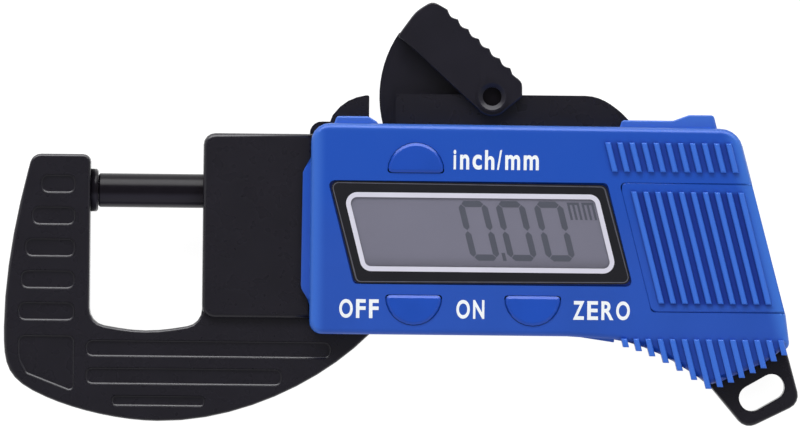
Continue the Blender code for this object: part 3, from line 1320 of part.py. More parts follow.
def main():
    clear_scene()
    black = material("black_casting", (0.020, 0.019, 0.024), 0.42)
    lever_black = material("black_plastic", (0.022, 0.021, 0.027), 0.38)
    blue = material("blue_plastic", (0.024, 0.080, 0.480), 0.36)
    steel = material("ground_steel", (0.62, 0.61, 0.60), 0.28, 1.0)
    brass = material("brass", (0.68, 0.49, 0.22), 0.35, 1.0)
    blackened = material("black_steel", (0.020, 0.019, 0.024), 0.28, 0.6)
    screw_steel = material("plated_steel", (0.50, 0.50, 0.52), 0.35, 1.0)
    spring_steel = material("spring_steel", (0.42, 0.42, 0.44), 0.38, 1.0)
    lens_black = material("lens_black", (0.012, 0.012, 0.016), 0.12)
    lcd_grey = material("lcd_grey", (0.200, 0.195, 0.250), 0.30)
    board_green = material("board_green", (0.020, 0.130, 0.060), 0.50)
    chip_black = material("chip_black", (0.018, 0.018, 0.018), 0.55)
    button_blue = material("button_blue", (0.022, 0.070, 0.420), 0.45)
    rubber = material("connector_rubber", (0.080, 0.080, 0.090), 0.80)
    carriage_grey = material("carriage_plastic", (0.120, 0.120, 0.130), 0.50)

    gauge = axis_empty("gauge", (-REST_POINT_X, 0, 0))
    lever_axis = axis_empty("lever_axis", (PIVOT_X, PIVOT_Y, AXIS_Z), gauge)
    spindle_axis = axis_empty("spindle_axis", (0, 0, AXIS_Z), gauge)
    cover_axis = axis_empty("cover_axis", (CELL_X, CELL_Y, BODY_THICKNESS), gauge)

    build_frame(black, gauge)
    build_anvil(blackened, gauge)
    build_bush(brass, gauge)
    build_spindle(blackened, spindle_axis)
    build_carriage(carriage_grey, spindle_axis)
    build_drive_pin(steel, spindle_axis)
    build_scale_strip(board_green, spindle_axis)
    build_return_spring(spring_steel, spindle_axis)
    build_spring_guide(brass, gauge)
    build_lever(lever_black, lever_axis)
    build_pivot_pin(blackened, gauge)
    build_front_housing(blue, gauge)
    build_rear_housing(lever_black, gauge)
    build_lens(lens_black, gauge)
    build_lcd(lcd_grey, gauge)
    build_connector(rubber, gauge)
    build_board(board_green, gauge)
    build_chip(chip_black, gauge)
    for name, button in (("unit", UNIT_BUTTON), ("power", POWER_BUTTON), ("zero", ZERO_BUTTON)):
        button_axis = axis_empty(f"{name}_axis", (button[0], button[1], BODY_THICKNESS), gauge)
        build_button(f"{name}_button", button, button_blue, button_axis)
        build_switch_dome(f"{name}_switch_dome", button, screw_steel, gauge)
    build_cover(blue, cover_axis)
    build_cell(screw_steel, gauge)
    build_contacts(spring_steel, gauge)
    build_screws(screw_steel, gauge)


main()
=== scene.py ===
"""Digital thickness gauge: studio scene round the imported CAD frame. Metres, +Z out of the display."""

import json
import math

import bmesh
import bpy
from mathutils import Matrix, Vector


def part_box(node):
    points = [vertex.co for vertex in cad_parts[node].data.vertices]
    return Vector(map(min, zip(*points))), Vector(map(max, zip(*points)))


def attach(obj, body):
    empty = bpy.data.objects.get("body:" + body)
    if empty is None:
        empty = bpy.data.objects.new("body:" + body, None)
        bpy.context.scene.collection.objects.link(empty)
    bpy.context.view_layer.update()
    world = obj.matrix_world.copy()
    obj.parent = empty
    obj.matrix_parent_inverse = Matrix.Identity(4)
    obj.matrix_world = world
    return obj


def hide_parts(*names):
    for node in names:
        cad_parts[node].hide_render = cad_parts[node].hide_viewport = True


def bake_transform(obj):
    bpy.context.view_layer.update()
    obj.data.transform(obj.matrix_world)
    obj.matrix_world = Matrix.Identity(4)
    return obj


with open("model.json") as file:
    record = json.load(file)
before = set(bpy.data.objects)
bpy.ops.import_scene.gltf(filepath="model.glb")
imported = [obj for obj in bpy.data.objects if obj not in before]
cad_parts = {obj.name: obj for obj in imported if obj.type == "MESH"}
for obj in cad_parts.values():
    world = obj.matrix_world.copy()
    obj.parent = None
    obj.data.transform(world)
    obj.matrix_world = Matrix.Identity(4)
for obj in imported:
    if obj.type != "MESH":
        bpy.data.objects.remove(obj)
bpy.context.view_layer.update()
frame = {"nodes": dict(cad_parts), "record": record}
MM = 0.001
ANVIL_X = -0.072                      # the anvil's measuring face; drawing X counts from here


def place(x_mm, y_mm):
    """A drawing point, in millimetres from the anvil's face and the spindle line, in the world."""
    return Vector((ANVIL_X + x_mm * MM, y_mm * MM))


# Materials

def surface(name, base, shade=0.12, patch=0.006, rough=0.4, spread=0.02, grain=0.0003,
            relief=0.1, height=0.00002, stretch=(1, 1, 1), metallic=0.0, specular=0.5,
            alpha=1.0, tints=()):
    """A procedural finish: cloudy colour, uneven gloss and a fine relief, all in metres.

    A tint is a colour and one or more spans (axis, start, stop) along directions in the world; it
    comes up from start to stop, and where there are several spans it shows where all of them do.
    Most tints here are painted highlights and painted shade.
    """
    made = bpy.data.materials.new(name)
    made.use_nodes = True
    nodes, links = made.node_tree.nodes, made.node_tree.links
    principled = nodes["Principled BSDF"]
    principled.inputs["Metallic"].default_value = metallic
    principled.inputs["Specular IOR Level"].default_value = specular
    principled.inputs["Alpha"].default_value = alpha
    where = nodes.new("ShaderNodeTexCoord")
    mapping = nodes.new("ShaderNodeMapping")
    mapping.inputs["Scale"].default_value = stretch
    links.new(where.outputs["Object"], mapping.inputs["Vector"])

    def noise(size, detail):
        made_noise = nodes.new("ShaderNodeTexNoise")
        made_noise.inputs["Scale"].default_value = 1 / size
        made_noise.inputs["Detail"].default_value = detail
        links.new(mapping.outputs["Vector"], made_noise.inputs["Vector"])
        return made_noise.outputs["Fac"]

    ramp = nodes.new("ShaderNodeValToRGB")
    for element, factor, at in zip(ramp.color_ramp.elements, (1 - shade, 1 + shade), (0.3, 0.7)):
        element.position = at
        element.color = [min(channel * factor, 1) for channel in base] + [1]
    links.new(noise(patch, 1), ramp.inputs["Fac"])
    colour = ramp.outputs["Color"]
    for tint, spans in tints:
        amount = None
        for axis, start, stop in spans:
            along, fade = nodes.new("ShaderNodeVectorMath"), nodes.new("ShaderNodeMapRange")
            along.operation = "DOT_PRODUCT"
            along.inputs[1].default_value = axis
            fade.interpolation_type = "SMOOTHSTEP"
            fade.inputs["From Min"].default_value = start
            fade.inputs["From Max"].default_value = stop
            links.new(where.outputs["Object"], along.inputs[0])
            links.new(along.outputs["Value"], fade.inputs["Value"])
            if amount is None:
                amount = fade.outputs["Result"]
            else:
                both = nodes.new("ShaderNodeMath")
                both.operation = "MULTIPLY"
                links.new(amount, both.inputs[0])
                links.new(fade.outputs["Result"], both.inputs[1])
                amount = both.outputs["Value"]
        mixed = nodes.new("ShaderNodeMix")
        mixed.data_type = "RGBA"
        mixed.inputs["B"].default_value = [*tint, 1]
        links.new(amount, mixed.inputs["Factor"])
        links.new(colour, mixed.inputs["A"])
        colour = mixed.outputs["Result"]
    links.new(colour, principled.inputs["Base Color"])
    gloss = nodes.new("ShaderNodeMapRange")
    gloss.inputs["From Min"].default_value = 0.3
    gloss.inputs["From Max"].default_value = 0.7
    gloss.inputs["To Min"].default_value = rough - spread
    gloss.inputs["To Max"].default_value = rough + spread
    links.new(noise(patch / 3, 1), gloss.inputs["Value"])
    links.new(gloss.outputs["Result"], principled.inputs["Roughness"])
    if relief:
        bump = nodes.new("ShaderNodeBump")
        bump.inputs["Strength"].default_value = relief
        bump.inputs["Distance"].default_value = height
        links.new(noise(grain, 2), bump.inputs["Height"])
        links.new(bump.outputs["Normal"], principled.inputs["Normal"])
    return made


UP, ACROSS, NORTH = (0.0, 0.0, 1.0), (1.0, 0.0, 0.0), (0.0, 1.0, 0.0)
EDGE_SLANT, RIB_SLANT = math.radians(14.8), math.radians(14.5)
ACROSS_EDGE = (math.cos(EDGE_SLANT), math.sin(EDGE_SLANT), 0.0)   # square to the right edge
ACROSS_RIBS = (1.0, math.tan(RIB_SLANT), 0.0)                     # one value along each rib


def shade_between_ribs(left, right, bottom, top, tint):
    """Painted shade on the floor of a field of ribs, where the ribs shade it; left and right are measured
    across the ribs.
    """
    soft = 0.0004
    return (tint, ((ACROSS_RIBS, left - soft, left + soft), (ACROSS_RIBS, right + soft, right - soft),
                   (NORTH, bottom - soft, bottom + soft), (NORTH, top + soft, top - soft)))


UPPER_HALF = ((0.0110, 0.0810, 0.4900), ((NORTH, -0.0120, 0.0040),))
# painted highlights: the housing's face lighter along its right, left and top edges
RIGHT_EDGE_HIGHLIGHT = ((0.0460, 0.1750, 0.6600), ((ACROSS_EDGE, 0.0352, 0.0384),))
LEFT_EDGE_HIGHLIGHT = ((0.0400, 0.1500, 0.6200), ((ACROSS, -0.0330, -0.0352), (ACROSS, -0.0361, -0.0356)))
TOP_EDGE_HIGHLIGHT = ((0.0480, 0.1550, 0.6100), ((NORTH, 0.0104, 0.0118),))
# painted shade on the floor between the ribs: top field, battery cover, lower field
TOP_RIB_SHADE = shade_between_ribs(0.0165, 0.0378, 0.0040, 0.0090, (0.0100, 0.0500, 0.3500))
COVER_RIB_SHADE = shade_between_ribs(0.0188, 0.0378, -0.0185, 0.0006, (0.0065, 0.0370, 0.3050))
LOWER_RIB_SHADE = shade_between_ribs(0.0110, 0.0384, -0.0400, -0.0244, (0.0120, 0.0600, 0.3800))
# painted highlight: the tops of the ribs lighter, as if catching the light
RIB_CREST_HIGHLIGHT = ((0.0420, 0.1620, 0.6900), ((UP, 0.01825, 0.01880),))
# the blue housing's tints, most of them painted highlights and painted shade
BLUE_TINTS_AND_PAINTED_LIGHT = (UPPER_HALF, RIGHT_EDGE_HIGHLIGHT, LEFT_EDGE_HIGHLIGHT, TOP_EDGE_HIGHLIGHT, TOP_RIB_SHADE, COVER_RIB_SHADE,
              LOWER_RIB_SHADE, RIB_CREST_HIGHLIGHT)
# painted reflection: the spindle lighter on its lower half
SPINDLE_LOWER_REFLECTION = ((0.0270, 0.0250, 0.0350), ((NORTH, -0.0002, -0.0011),))
# painted shade: the display darker towards its bottom edge
DISPLAY_FOOT_SHADE = ((0.178, 0.174, 0.226), ((NORTH, -0.0102, -0.0124),))
FINISHES = {
    "black_casting": surface("casting", (0.0140, 0.0128, 0.0186), shade=0.06, rough=0.28, spread=0.015,
                             grain=0.00035, relief=0.03, specular=0.5),
    "black_plastic": surface("lever_plastic", (0.0108, 0.0098, 0.0165), shade=0.08, rough=0.38,
                             grain=0.00022, relief=0.15, specular=0.45),
    "blue_plastic": surface("housing_plastic", (0.0190, 0.0850, 0.4650), shade=0.04, patch=0.012,
                            rough=0.32, grain=0.00025, relief=0.12, specular=0.4,
                            tints=BLUE_TINTS_AND_PAINTED_LIGHT),
    "button_blue": surface("button_plastic", (0.0085, 0.0730, 0.4800), shade=0.04, rough=0.30,
                           grain=0.0002, relief=0.10, specular=0.45),
    "black_steel": surface("black_steel", (0.0090, 0.0076, 0.0110), shade=0.10, patch=0.0015,
                           rough=0.20, spread=0.02, grain=0.0008, relief=0.10, specular=0.16,
                           tints=(SPINDLE_LOWER_REFLECTION,)),
    "ground_steel": surface("ground_steel", (0.62, 0.61, 0.60), rough=0.25, stretch=(12, 1, 1),
                            grain=0.0008, relief=0.15, metallic=1.0),
    "plated_steel": surface("plated_steel", (0.50, 0.50, 0.52), rough=0.22, grain=0.0002,
                            relief=0.1, metallic=1.0),
    "spring_steel": surface("spring_steel", (0.42, 0.42, 0.44), rough=0.3, grain=0.0001,
                            relief=0.1, metallic=1.0),
    "brass": surface("brass", (0.68, 0.49, 0.22), rough=0.3, stretch=(8, 1, 1), grain=0.0006,
                     relief=0.15, metallic=1.0),
    "lens_black": surface("printed_border", (0.0160, 0.0160, 0.0200), shade=0.05, rough=0.12,
                          spread=0.02, relief=0.0, specular=0.5),
    "lcd_grey": surface("display_glass", (0.226, 0.222, 0.292), shade=0.03, patch=0.01, rough=0.3,
                        spread=0.02, grain=0.0001, relief=0.05, specular=0.3,
                        tints=(DISPLAY_FOOT_SHADE,)),
    "board_green": surface("solder_mask", (0.020, 0.130, 0.060), rough=0.4, relief=0.2),
    "chip_black": surface("epoxy", (0.018, 0.018, 0.018), rough=0.6, relief=0.3),
    "connector_rubber": surface("striped_rubber", (0.080, 0.080, 0.090), rough=0.7,
                                patch=0.0004, shade=0.5, relief=0.2),
    "carriage_plastic": surface("acetal", (0.120, 0.120, 0.130), rough=0.45, relief=0.2),
}
RING = surface("printed_ring", (0.70, 0.69, 0.80), shade=0.02, rough=0.3, relief=0.05)
LETTERING = surface("printed_letters", (0.92, 0.96, 0.99), shade=0.02, rough=0.45, relief=0.1)
SEGMENT = surface("liquid_crystal", (0.105, 0.112, 0.147), shade=0.04, rough=0.3, relief=0.0,
                  specular=0.3)
# painted highlight: a light grey line standing in for light on the clear plate's edge
PLATE_EDGE_HIGHLIGHT = surface("plate_edge_highlight", (0.100, 0.100, 0.125), shade=0.10, patch=0.002, rough=0.3,
                     relief=0.0)
PANE = surface("clear_pane", (0.9, 0.9, 0.92), shade=0.01, rough=0.05, spread=0.02, relief=0.0,
               metallic=1.0, alpha=0.06)


# Dressed CAD solids

SLOTS = {entry["node"]: entry["material_slot"] for entry in frame["record"]["subparts"]}
BODY_OF = {node: body for body, members in frame["record"]["behaviour"]["bodies"].items()
           for node in members}
LAID_ANEW = {"display_lens"}
WELD = 2e-6
FLAT_WITHIN = math.radians(0.6)
SMOOTH_BELOW = math.radians(38)
FACE_TOP = 0.018
GROWN = {"battery_cover": 0.00028, "unit_button": 0.00022, "power_button": 0.00022,
         "zero_button": 0.00022}
CORNER_REACH = 1.9                            # the cover's rounded corner lies further from its bay
TIP_REACH = 0.00026                           # the spindle's face shows resting on the anvil
SEATED = 0.00027                              # a pressed-in piece shows no gap round it
TIP_LENGTH = 0.0020                           # part of the spindle that moves with its face
ANVIL_SHANK = 0.0030                          # the anvil is wider than this only at its disc
ANVIL_FRONT = 0.0008                          # front part of the disc, which stays
PIN_EXTRA = 0.00006
PIN_HEAD, PIN_SET_BACK = 0.0006, 0.0010       # the pin's front end lies deep in its hole


def smooth(mesh):
    mesh.shade_smooth()
    mesh.set_sharp_from_angle(angle=SMOOTH_BELOW)


def grown(mesh, by, keep_right=False):
    """Moves a flat piece's outer walls out by this much, so that its seam looks as fine as it is.

    What lies wholly on the face, such as a rib, stays. With keep_right the walls that look right
    stay too, and the top left corner moves further.
    """
    level, rightwards, alike, sharpest, aslant = 0.9, 0.5, 0.99, -0.2, 0.25
    bm = bmesh.new()
    bm.from_mesh(mesh)
    bmesh.ops.remove_doubles(bm, verts=bm.verts, dist=WELD)
    shifts = {}
    for vertex in bm.verts:
        facing = []
        for face in vertex.link_faces:
            normal = face.normal
            on_face = min(corner.co.z for corner in face.verts) > FACE_TOP - 0.0001
            if abs(normal.z) > level or on_face or (keep_right and normal.x > rightwards):
                continue
            flat = Vector((normal.x, normal.y)).normalized()
            if all(flat.dot(other) < alike for other in facing):
                facing.append(flat)
        if len(facing) == 1:
            shifts[vertex] = facing[0] * by
        elif facing:
            pairs = [(a, b) for a in facing for b in facing]
            first, last = min(pairs, key=lambda pair: pair[0].dot(pair[1]))
            shifts[vertex] = (first + last) * by / (1 + max(first.dot(last), sharpest))
    for vertex, shift in shifts.items():
        if keep_right and shift.x < -aslant * by and shift.y > aslant * by:
            shift = shift * CORNER_REACH
        vertex.co.x += shift.x
        vertex.co.y += shift.y
    bm.to_mesh(mesh)
    bm.free()


def seated(mesh, node):
    """Closes the fine gaps that the drawing keeps at the spindle's face, the anvil and the pin."""
    low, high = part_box(node)
    if node == "spindle":
        for vertex in mesh.vertices:
            if vertex.co.x < low.x + TIP_LENGTH:
                vertex.co.x -= TIP_REACH
    elif node == "anvil":
        for vertex in mesh.vertices:
            from_axis = math.hypot(vertex.co.y, vertex.co.z - (low.z + high.z) / 2)
            if from_axis > ANVIL_SHANK and vertex.co.x < high.x - ANVIL_FRONT:
                vertex.co.x -= SEATED
    elif node == "lever_pivot_pin":
        grown(mesh, SEATED + PIN_EXTRA)
        for vertex in mesh.vertices:
            if vertex.co.z > high.z - PIN_HEAD:
                vertex.co.z -= PIN_SET_BACK


def stand_in(node, mesh):
    """A piece in a CAD solid's place, with the finish of the solid's material slot."""
    mesh.materials.clear()
    mesh.materials.append(FINISHES[SLOTS[node]])
    piece = bpy.data.objects.new(node + "_finished", mesh)
    bpy.context.scene.collection.objects.link(piece)
    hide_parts(node)
    return piece


def dress(node):
    """A smooth copy of a CAD solid: welded, its flat faces made whole."""
    mesh = frame["nodes"][node].data.copy()
    if node in GROWN:
        grown(mesh, GROWN[node], keep_right=node == "battery_cover")
    seated(mesh, node)
    bm = bmesh.new()
    bm.from_mesh(mesh)
    bmesh.ops.remove_doubles(bm, verts=bm.verts, dist=WELD)
    bmesh.ops.dissolve_limit(bm, angle_limit=FLAT_WITHIN, verts=bm.verts, edges=bm.edges)
    bm.to_mesh(mesh)
    bm.free()
    smooth(mesh)
    piece = stand_in(node, mesh)
    flat = piece.modifiers.new("flat_faces", "WEIGHTED_NORMAL")
    flat.keep_sharp = True
    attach(piece, BODY_OF[node])


def dress_spring(node):
    """The return spring as it lies in the drawing, with its transform applied."""
    piece = stand_in(node, frame["nodes"][node].data.copy())
    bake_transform(piece)


for node in frame["nodes"]:
    if node == "return_spring":
        dress_spring(node)
    elif node not in LAID_ANEW:
        dress(node)


# Helpers for new pieces

def solid_piece(name, loops, bottom, top, material, body="root", bevel=0.0):
    """A plate between two levels from one outline and any holes, each a list of points."""
    curve = bpy.data.curves.new(name, "CURVE")
    curve.dimensions = "2D"
    curve.fill_mode = "BOTH"
    curve.extrude = (top - bottom) / 2
    for loop in loops:
        spline = curve.splines.new("POLY")
        spline.points.add(len(loop) - 1)
        for point, (x, y) in zip(spline.points, loop):
            point.co = (x, y, 0, 1)
        spline.use_cyclic_u = True
    holder = bpy.data.objects.new(name, curve)
    bpy.context.scene.collection.objects.link(holder)
    holder.location.z = (top + bottom) / 2
    bpy.context.view_layer.update()
    return from_curve(holder, material, body, bevel)


def from_curve(holder, material, body, bevel=0.0):
    """Turns a curve or text object into one welded mesh piece in world coordinates."""
    name = holder.name
    mesh = bpy.data.meshes.new_from_object(holder.evaluated_get(bpy.context.evaluated_depsgraph_get()))
    mesh.transform(holder.matrix_world)
    bpy.data.objects.remove(holder)
    bm = bmesh.new()
    bm.from_mesh(mesh)
    bmesh.ops.remove_doubles(bm, verts=bm.verts, dist=1e-7)
    bmesh.ops.recalc_face_normals(bm, faces=bm.faces)
    bm.to_mesh(mesh)
    bm.free()
    mesh.materials.clear()
    mesh.materials.append(material)
    smooth(mesh)
    piece = bpy.data.objects.new(name, mesh)
    bpy.context.scene.collection.objects.link(piece)
    if bevel:
        eased = piece.modifiers.new("eased_edges", "BEVEL")
        eased.width = bevel
        eased.segments = 2
        eased.limit_method = "ANGLE"
        eased.angle_limit = math.radians(50)
        eased.harden_normals = True
    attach(piece, body)
    return piece


def rounded(corners, steps=8):
    """Corners (x_mm, y_mm, radius_mm) to a smooth closed outline in the world."""
    points = []
    count = len(corners)
    for i, (x, y, radius) in enumerate(corners):
        here = Vector((x, y))
        before = (Vector(corners[i - 1][:2]) - here).normalized()
        after = (Vector(corners[(i + 1) % count][:2]) - here).normalized()
        half = before.angle(after) / 2
        start = here + before * radius / math.tan(half)
        stop = here + after * radius / math.tan(half)
        centre = here + (before + after).normalized() * radius / math.sin(half)
        turn = (start - centre).angle_signed(stop - centre)
        arm = start - centre
        for k in range(steps + 1):
            a = -turn * k / steps
            points.append(place(centre.x + arm.x * math.cos(a) - arm.y * math.sin(a),
                                centre.y + arm.x * math.sin(a) + arm.y * math.cos(a)))
    return points


# Display

LENS_LOW, LENS_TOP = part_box("display_lens")[0].z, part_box("display_lens")[1].z
LCD_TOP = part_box("lcd_panel")[1].z
SLANT = math.tan(math.radians(14.4))          # the display leans, further right as it goes down
PRINT = 0.00003                               # thickness of printed ink
PANE_THICKNESS = 0.0002
FILM_TOP = LENS_LOW + 0.0002                  # the grey film fills the lens from behind


def leaning(left, right, top, bottom, radius, level):
    """A parallelogram that leans with the display; left and right are given at one level."""
    high, low = (level - top) * SLANT, (level - bottom) * SLANT
    return rounded([(left + high, top, radius), (right + high, top, radius),
                    (right + low, bottom, radius), (left + low, bottom, radius)])


RING_LEVEL = -6.3
RING_LEFT, RING_RIGHT, RING_TOP, RING_BOTTOM = 43.34, 86.69, 0.10, -13.30
RING_WIDTH, RING_RADIUS = 0.83, 1.9
outer_ring = leaning(RING_LEFT, RING_RIGHT, RING_TOP, RING_BOTTOM, RING_RADIUS, RING_LEVEL)
inner_ring = leaning(RING_LEFT + RING_WIDTH, RING_RIGHT - RING_WIDTH, RING_TOP - RING_WIDTH,
                     RING_BOTTOM + RING_WIDTH, RING_RADIUS - RING_WIDTH, RING_LEVEL)

LENS_CORNERS = ((39.37, 2.0), (86.45, 1.7), (90.95, -15.1), (43.85, -15.4))
LENS_RADIUS = 1.2
SIDE_INSET = 1.25                             # the leaning sides move in by more, measured along X
EDGE_HIGHLIGHT_LINE = (0.22, 0.38)                      # insets of the painted highlight line near the plate's edge


def lens_loop(inset):
    """The clear plate's outline, moved inwards by so many millimetres."""
    middle = Vector((sum(x for x, _ in LENS_CORNERS) / 4, sum(y for _, y in LENS_CORNERS) / 4))
    return rounded([(x + math.copysign(inset, middle.x - x) * SIDE_INSET,
                     y + math.copysign(inset, middle.y - y), LENS_RADIUS - inset)
                    for x, y in LENS_CORNERS])


border = solid_piece("display_border", [lens_loop(0), inner_ring], LENS_LOW, LENS_TOP,
                     FINISHES["lens_black"], bevel=0.00012)
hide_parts("display_lens")
solid_piece("display_ring", [outer_ring, inner_ring], LENS_TOP - PRINT, LENS_TOP + PRINT, RING)
# a painted highlight along the clear plate's edge
solid_piece("display_plate_edge", [lens_loop(inset) for inset in EDGE_HIGHLIGHT_LINE], LENS_TOP - PRINT,
            LENS_TOP + PRINT, PLATE_EDGE_HIGHLIGHT)
solid_piece("display_pane", [inner_ring], LENS_TOP - PANE_THICKNESS, LENS_TOP - PRINT, PANE)
solid_piece("display_film", [inner_ring], LCD_TOP + PRINT, FILM_TOP, FINISHES["lcd_grey"])

# Seven-segment digits: each segment is a hexagon in an upright cell, then leaned
DIGIT_TOP, DIGIT_BOTTOM = -1.18, -11.33
DIGIT_WIDTH, STROKE, GAP = 4.95, 1.06, 0.08
DIGIT_CENTRES = (64.86, 71.20, 77.70)         # at the digits' middle level
DIGIT_LEAN = -0.257


def segments(lit):
    """Outlines of the lit segments of one digit, in a cell centred on x = 0."""
    half_w, top, bottom = DIGIT_WIDTH / 2 - STROKE / 2, DIGIT_TOP - STROKE / 2, DIGIT_BOTTOM + STROKE / 2
    middle, tip = (top + bottom) / 2, STROKE / 2
    across = {"a": top, "g": middle, "d": bottom}
    upright = {"f": (-half_w, top, middle), "b": (half_w, top, middle),
               "e": (-half_w, middle, bottom), "c": (half_w, middle, bottom)}
    for key in lit:
        if key in across:
            y, left, right = across[key], -half_w + GAP, half_w - GAP
            yield [(left, y), (left + tip, y + tip), (right - tip, y + tip), (right, y),
                   (right - tip, y - tip), (left + tip, y - tip)]
        else:
            x, high, low = upright[key]
            high, low = high - GAP, low + GAP
            yield [(x, high), (x + tip, high - tip), (x + tip, low + tip), (x, low),
                   (x - tip, low + tip), (x - tip, high - tip)]


def lean(points, centre):
    """Points of a cell centred here, leaned about the digits' middle level, in the world."""
    middle = (DIGIT_TOP + DIGIT_BOTTOM) / 2
    return [place(centre + x + (y - middle) * DIGIT_LEAN, y) for x, y in points]


digit_loops = []
for centre in DIGIT_CENTRES:
    digit_loops += [lean(loop, centre) for loop in segments("abcdef")]

POINT_X, POINT_WIDTH, POINT_HEIGHT = 67.76, 0.6, 1.35
digit_loops.append(lean([(POINT_X, DIGIT_BOTTOM), (POINT_X + POINT_WIDTH, DIGIT_BOTTOM),
                         (POINT_X + POINT_WIDTH, DIGIT_BOTTOM + POINT_HEIGHT),
                         (POINT_X, DIGIT_BOTTOM + POINT_HEIGHT)], 0))
UNIT_LEFT, UNIT_TOP, UNIT_BOTTOM, UNIT_PITCH, UNIT_STROKE = 80.98, -1.30, -4.25, 0.82, 0.40


def comb(left):
    """The letter m as three legs under one bar."""
    points = []
    for leg in range(3):
        x = left + leg * UNIT_PITCH
        if leg:
            points.append((x, UNIT_TOP - UNIT_STROKE))
        points += [(x, UNIT_BOTTOM), (x + UNIT_STROKE, UNIT_BOTTOM)]
        points.append((x + UNIT_STROKE, UNIT_TOP - (UNIT_STROKE if leg < 2 else 0)))
    return points + [(left, UNIT_TOP)]


for letter in range(2):
    digit_loops.append(lean(comb(UNIT_LEFT + letter * 3 * UNIT_PITCH), 0))
solid_piece("display_digits", digit_loops, FILM_TOP - PRINT, FILM_TOP + PRINT, SEGMENT)


# Lettering

BOLD = 0.026                                  # how much each letter's strokes are thickened
LETTER_DEPTH = 0.05                           # before each letter is fitted to its box


def label(name, baseline, letters):
    """Printed letters, each (letter, left, right, height) in millimetres, on the housing's face."""
    for number, (letter, left, right, height) in enumerate(letters, 1):
        text = bpy.data.curves.new(f"{name}_{number}", "FONT")
        text.body, text.offset, text.extrude, text.resolution_u = letter, BOLD, LETTER_DEPTH, 6
        holder = bpy.data.objects.new(f"{name}_{number}", text)
        bpy.context.scene.collection.objects.link(holder)
        bpy.context.view_layer.update()
        piece = from_curve(holder, LETTERING, "root")
        spans = [[vertex.co[axis] for vertex in piece.data.vertices] for axis in range(3)]
        start, stop = place(left, baseline), place(right, baseline + height)
        goal = ((start.x, stop.x), (start.y, stop.y), (FACE_TOP - PRINT, FACE_TOP + PRINT))
        for vertex in piece.data.vertices:
            for axis in range(3):
                low, high = min(spans[axis]), max(spans[axis])
                share = (vertex.co[axis] - low) / (high - low)
                vertex.co[axis] = goal[axis][0] + share * (goal[axis][1] - goal[axis][0])


TALL, SMALL, CAPITAL = 3.34, 2.55, 3.20
label("label_unit", 4.13, (("i", 60.43, 60.88, TALL), ("n", 61.54, 63.10, SMALL),
                           ("c", 63.66, 65.24, SMALL), ("h", 65.77, 67.37, TALL),
                           ("/", 67.82, 68.66, TALL), ("m", 69.21, 71.75, SMALL),
                           ("m", 72.35, 74.92, SMALL)))
label("label_off", -21.28, (("O", 41.27, 43.58, CAPITAL), ("F", 44.12, 45.76, CAPITAL),
                            ("F", 46.33, 47.97, CAPITAL)))
label("label_on", -21.22, (("O", 61.17, 63.47, CAPITAL), ("N", 64.01, 65.93, CAPITAL)))
label("label_zero", -21.20, (("Z", 80.99, 82.92, CAPITAL), ("E", 83.41, 85.25, CAPITAL),
                             ("R", 85.81, 87.88, CAPITAL), ("O", 88.32, 90.65, CAPITAL)))


# Floor, world, lights and camera

def seen_directly(nodes, links):
    """1 on camera, glossy and transmission rays, 0 on the rays that light the object."""
    path = nodes.new("ShaderNodeLightPath")
    value = path.outputs["Is Camera Ray"]
    for other in ("Is Glossy Ray", "Is Transmission Ray"):
        larger = nodes.new("ShaderNodeMath")
        larger.operation = "MAXIMUM"
        links.new(value, larger.inputs[0])
        links.new(path.outputs[other], larger.inputs[1])
        value = larger.outputs["Value"]
    return value


FLOOR_HALF, FLOOR_LEVEL = 30.0, -0.00005
FLOOR_LIT, FLOOR_SEEN, FLOOR_GLOW = 0.8, 0.3, 0.92
floor_mesh = bpy.data.meshes.new("floor")
floor_mesh.from_pydata([(x * FLOOR_HALF, y * FLOOR_HALF, FLOOR_LEVEL)
                        for x, y in ((-1, -1), (1, -1), (1, 1), (-1, 1))], [], [(0, 1, 2, 3)])
floor = bpy.data.objects.new("floor", floor_mesh)
bpy.context.scene.collection.objects.link(floor)
white = bpy.data.materials.new("white_floor")
white.use_nodes = True
nodes, links = white.node_tree.nodes, white.node_tree.links
nodes.remove(nodes["Principled BSDF"])
lit = nodes.new("ShaderNodeBsdfDiffuse")
lit.inputs["Color"].default_value = (FLOOR_LIT, FLOOR_LIT, FLOOR_LIT, 1)
shaded = nodes.new("ShaderNodeBsdfDiffuse")
shaded.inputs["Color"].default_value = (FLOOR_SEEN, FLOOR_SEEN, FLOOR_SEEN, 1)
glow = nodes.new("ShaderNodeEmission")
glow.inputs["Strength"].default_value = FLOOR_GLOW
added, mixed = nodes.new("ShaderNodeAddShader"), nodes.new("ShaderNodeMixShader")
links.new(shaded.outputs[0], added.inputs[0])
links.new(glow.outputs[0], added.inputs[1])
links.new(seen_directly(nodes, links), mixed.inputs["Fac"])
links.new(lit.outputs[0], mixed.inputs[1])
links.new(added.outputs[0], mixed.inputs[2])
links.new(mixed.outputs[0], nodes["Material Output"].inputs["Surface"])
floor_mesh.materials.append(white)

world = bpy.data.worlds.new("studio")
bpy.context.scene.world = world
world.use_nodes = True
nodes, links = world.node_tree.nodes, world.node_tree.links
background = nodes["Background"]
background.inputs["Color"].default_value = (1, 1, 1, 1)
direction, split = nodes.new("ShaderNodeTexCoord"), nodes.new("ShaderNodeSeparateXYZ")
links.new(direction.outputs["Generated"], split.inputs[0])


def ranged(value, low, high, at_low, at_high):
    """Maps one part of a direction from a range to another, smoothly."""
    node = nodes.new("ShaderNodeMapRange")
    node.interpolation_type = "SMOOTHSTEP"
    for socket, number in (("From Min", low), ("From Max", high), ("To Min", at_low), ("To Max", at_high)):
        node.inputs[socket].default_value = number
    links.new(value, node.inputs["Value"])
    return node.outputs["Result"]


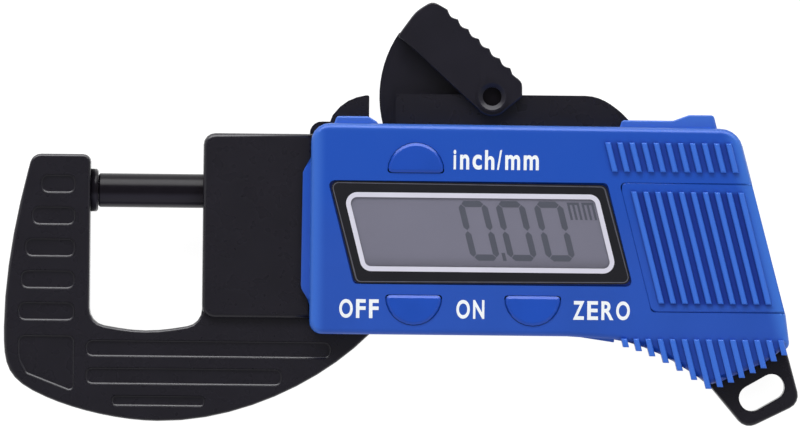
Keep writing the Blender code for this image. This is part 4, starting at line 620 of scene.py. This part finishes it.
def joined(operation, first, second):
    node = nodes.new("ShaderNodeMath")
    node.operation = operation
    links.new(first, node.inputs[0])
    links.new(second, node.inputs[1])
    return node.outputs["Value"]


SKY_LIGHT = 0.55                              # on the rays that light the object
ceiling = ranged(split.outputs["Z"], 0.25, 0.85, 0.65, 0.12)
window = joined("MULTIPLY", ranged(split.outputs["Y"], 0.50, 0.78, 0.0, 6.5),
                ranged(split.outputs["Z"], 0.02, 0.32, 0.15, 1.0))
studio = joined("ADD", ceiling, window)
strength = nodes.new("ShaderNodeMix")
strength.inputs["A"].default_value = SKY_LIGHT
links.new(studio, strength.inputs["B"])
links.new(seen_directly(nodes, links), strength.inputs["Factor"])
links.new(strength.outputs["Result"], background.inputs["Strength"])


LIGHT_AIM = Vector((-0.02, 0, 0.01))


def softbox(name, position, size, power):
    """A rectangular lamp that lights the object and isn't mirrored in it."""
    light = bpy.data.lights.new(name, "AREA")
    light.shape = "RECTANGLE"
    light.size, light.size_y = size
    light.energy = power
    lamp = bpy.data.objects.new(name, light)
    lamp.location = position
    lamp.visible_glossy = False
    aim = LIGHT_AIM - Vector(position)
    lamp.rotation_euler = aim.to_track_quat("-Z", "Y").to_euler()
    bpy.context.scene.collection.objects.link(lamp)


softbox("key", (-0.25, 0.85, 0.75), (0.9, 0.45), 7.3)
softbox("fill", (0.55, -0.6, 0.9), (0.6, 0.6), 2.4)

ROLL = math.radians(0.6)
LENS_LENGTH, SENSOR = 800.0, 36.0
FRAME_WIDTH, FOCUS_LEVEL = 0.136, 0.016       # so much of the object's face fills the picture
PICTURE_CENTRE = place(51.43, -3.63)
camera_data = bpy.data.cameras.new("camera")
camera_data.lens = LENS_LENGTH
camera_data.sensor_width = SENSOR
camera_data.clip_start, camera_data.clip_end = 0.01, 100
camera = bpy.data.objects.new("camera", camera_data)
camera.location = (*PICTURE_CENTRE, FOCUS_LEVEL + FRAME_WIDTH * LENS_LENGTH / SENSOR)
camera.rotation_euler = (0, 0, ROLL)
bpy.context.scene.collection.objects.link(camera)
bpy.context.scene.camera = camera
bpy.context.scene.view_settings.view_transform = "Standard"
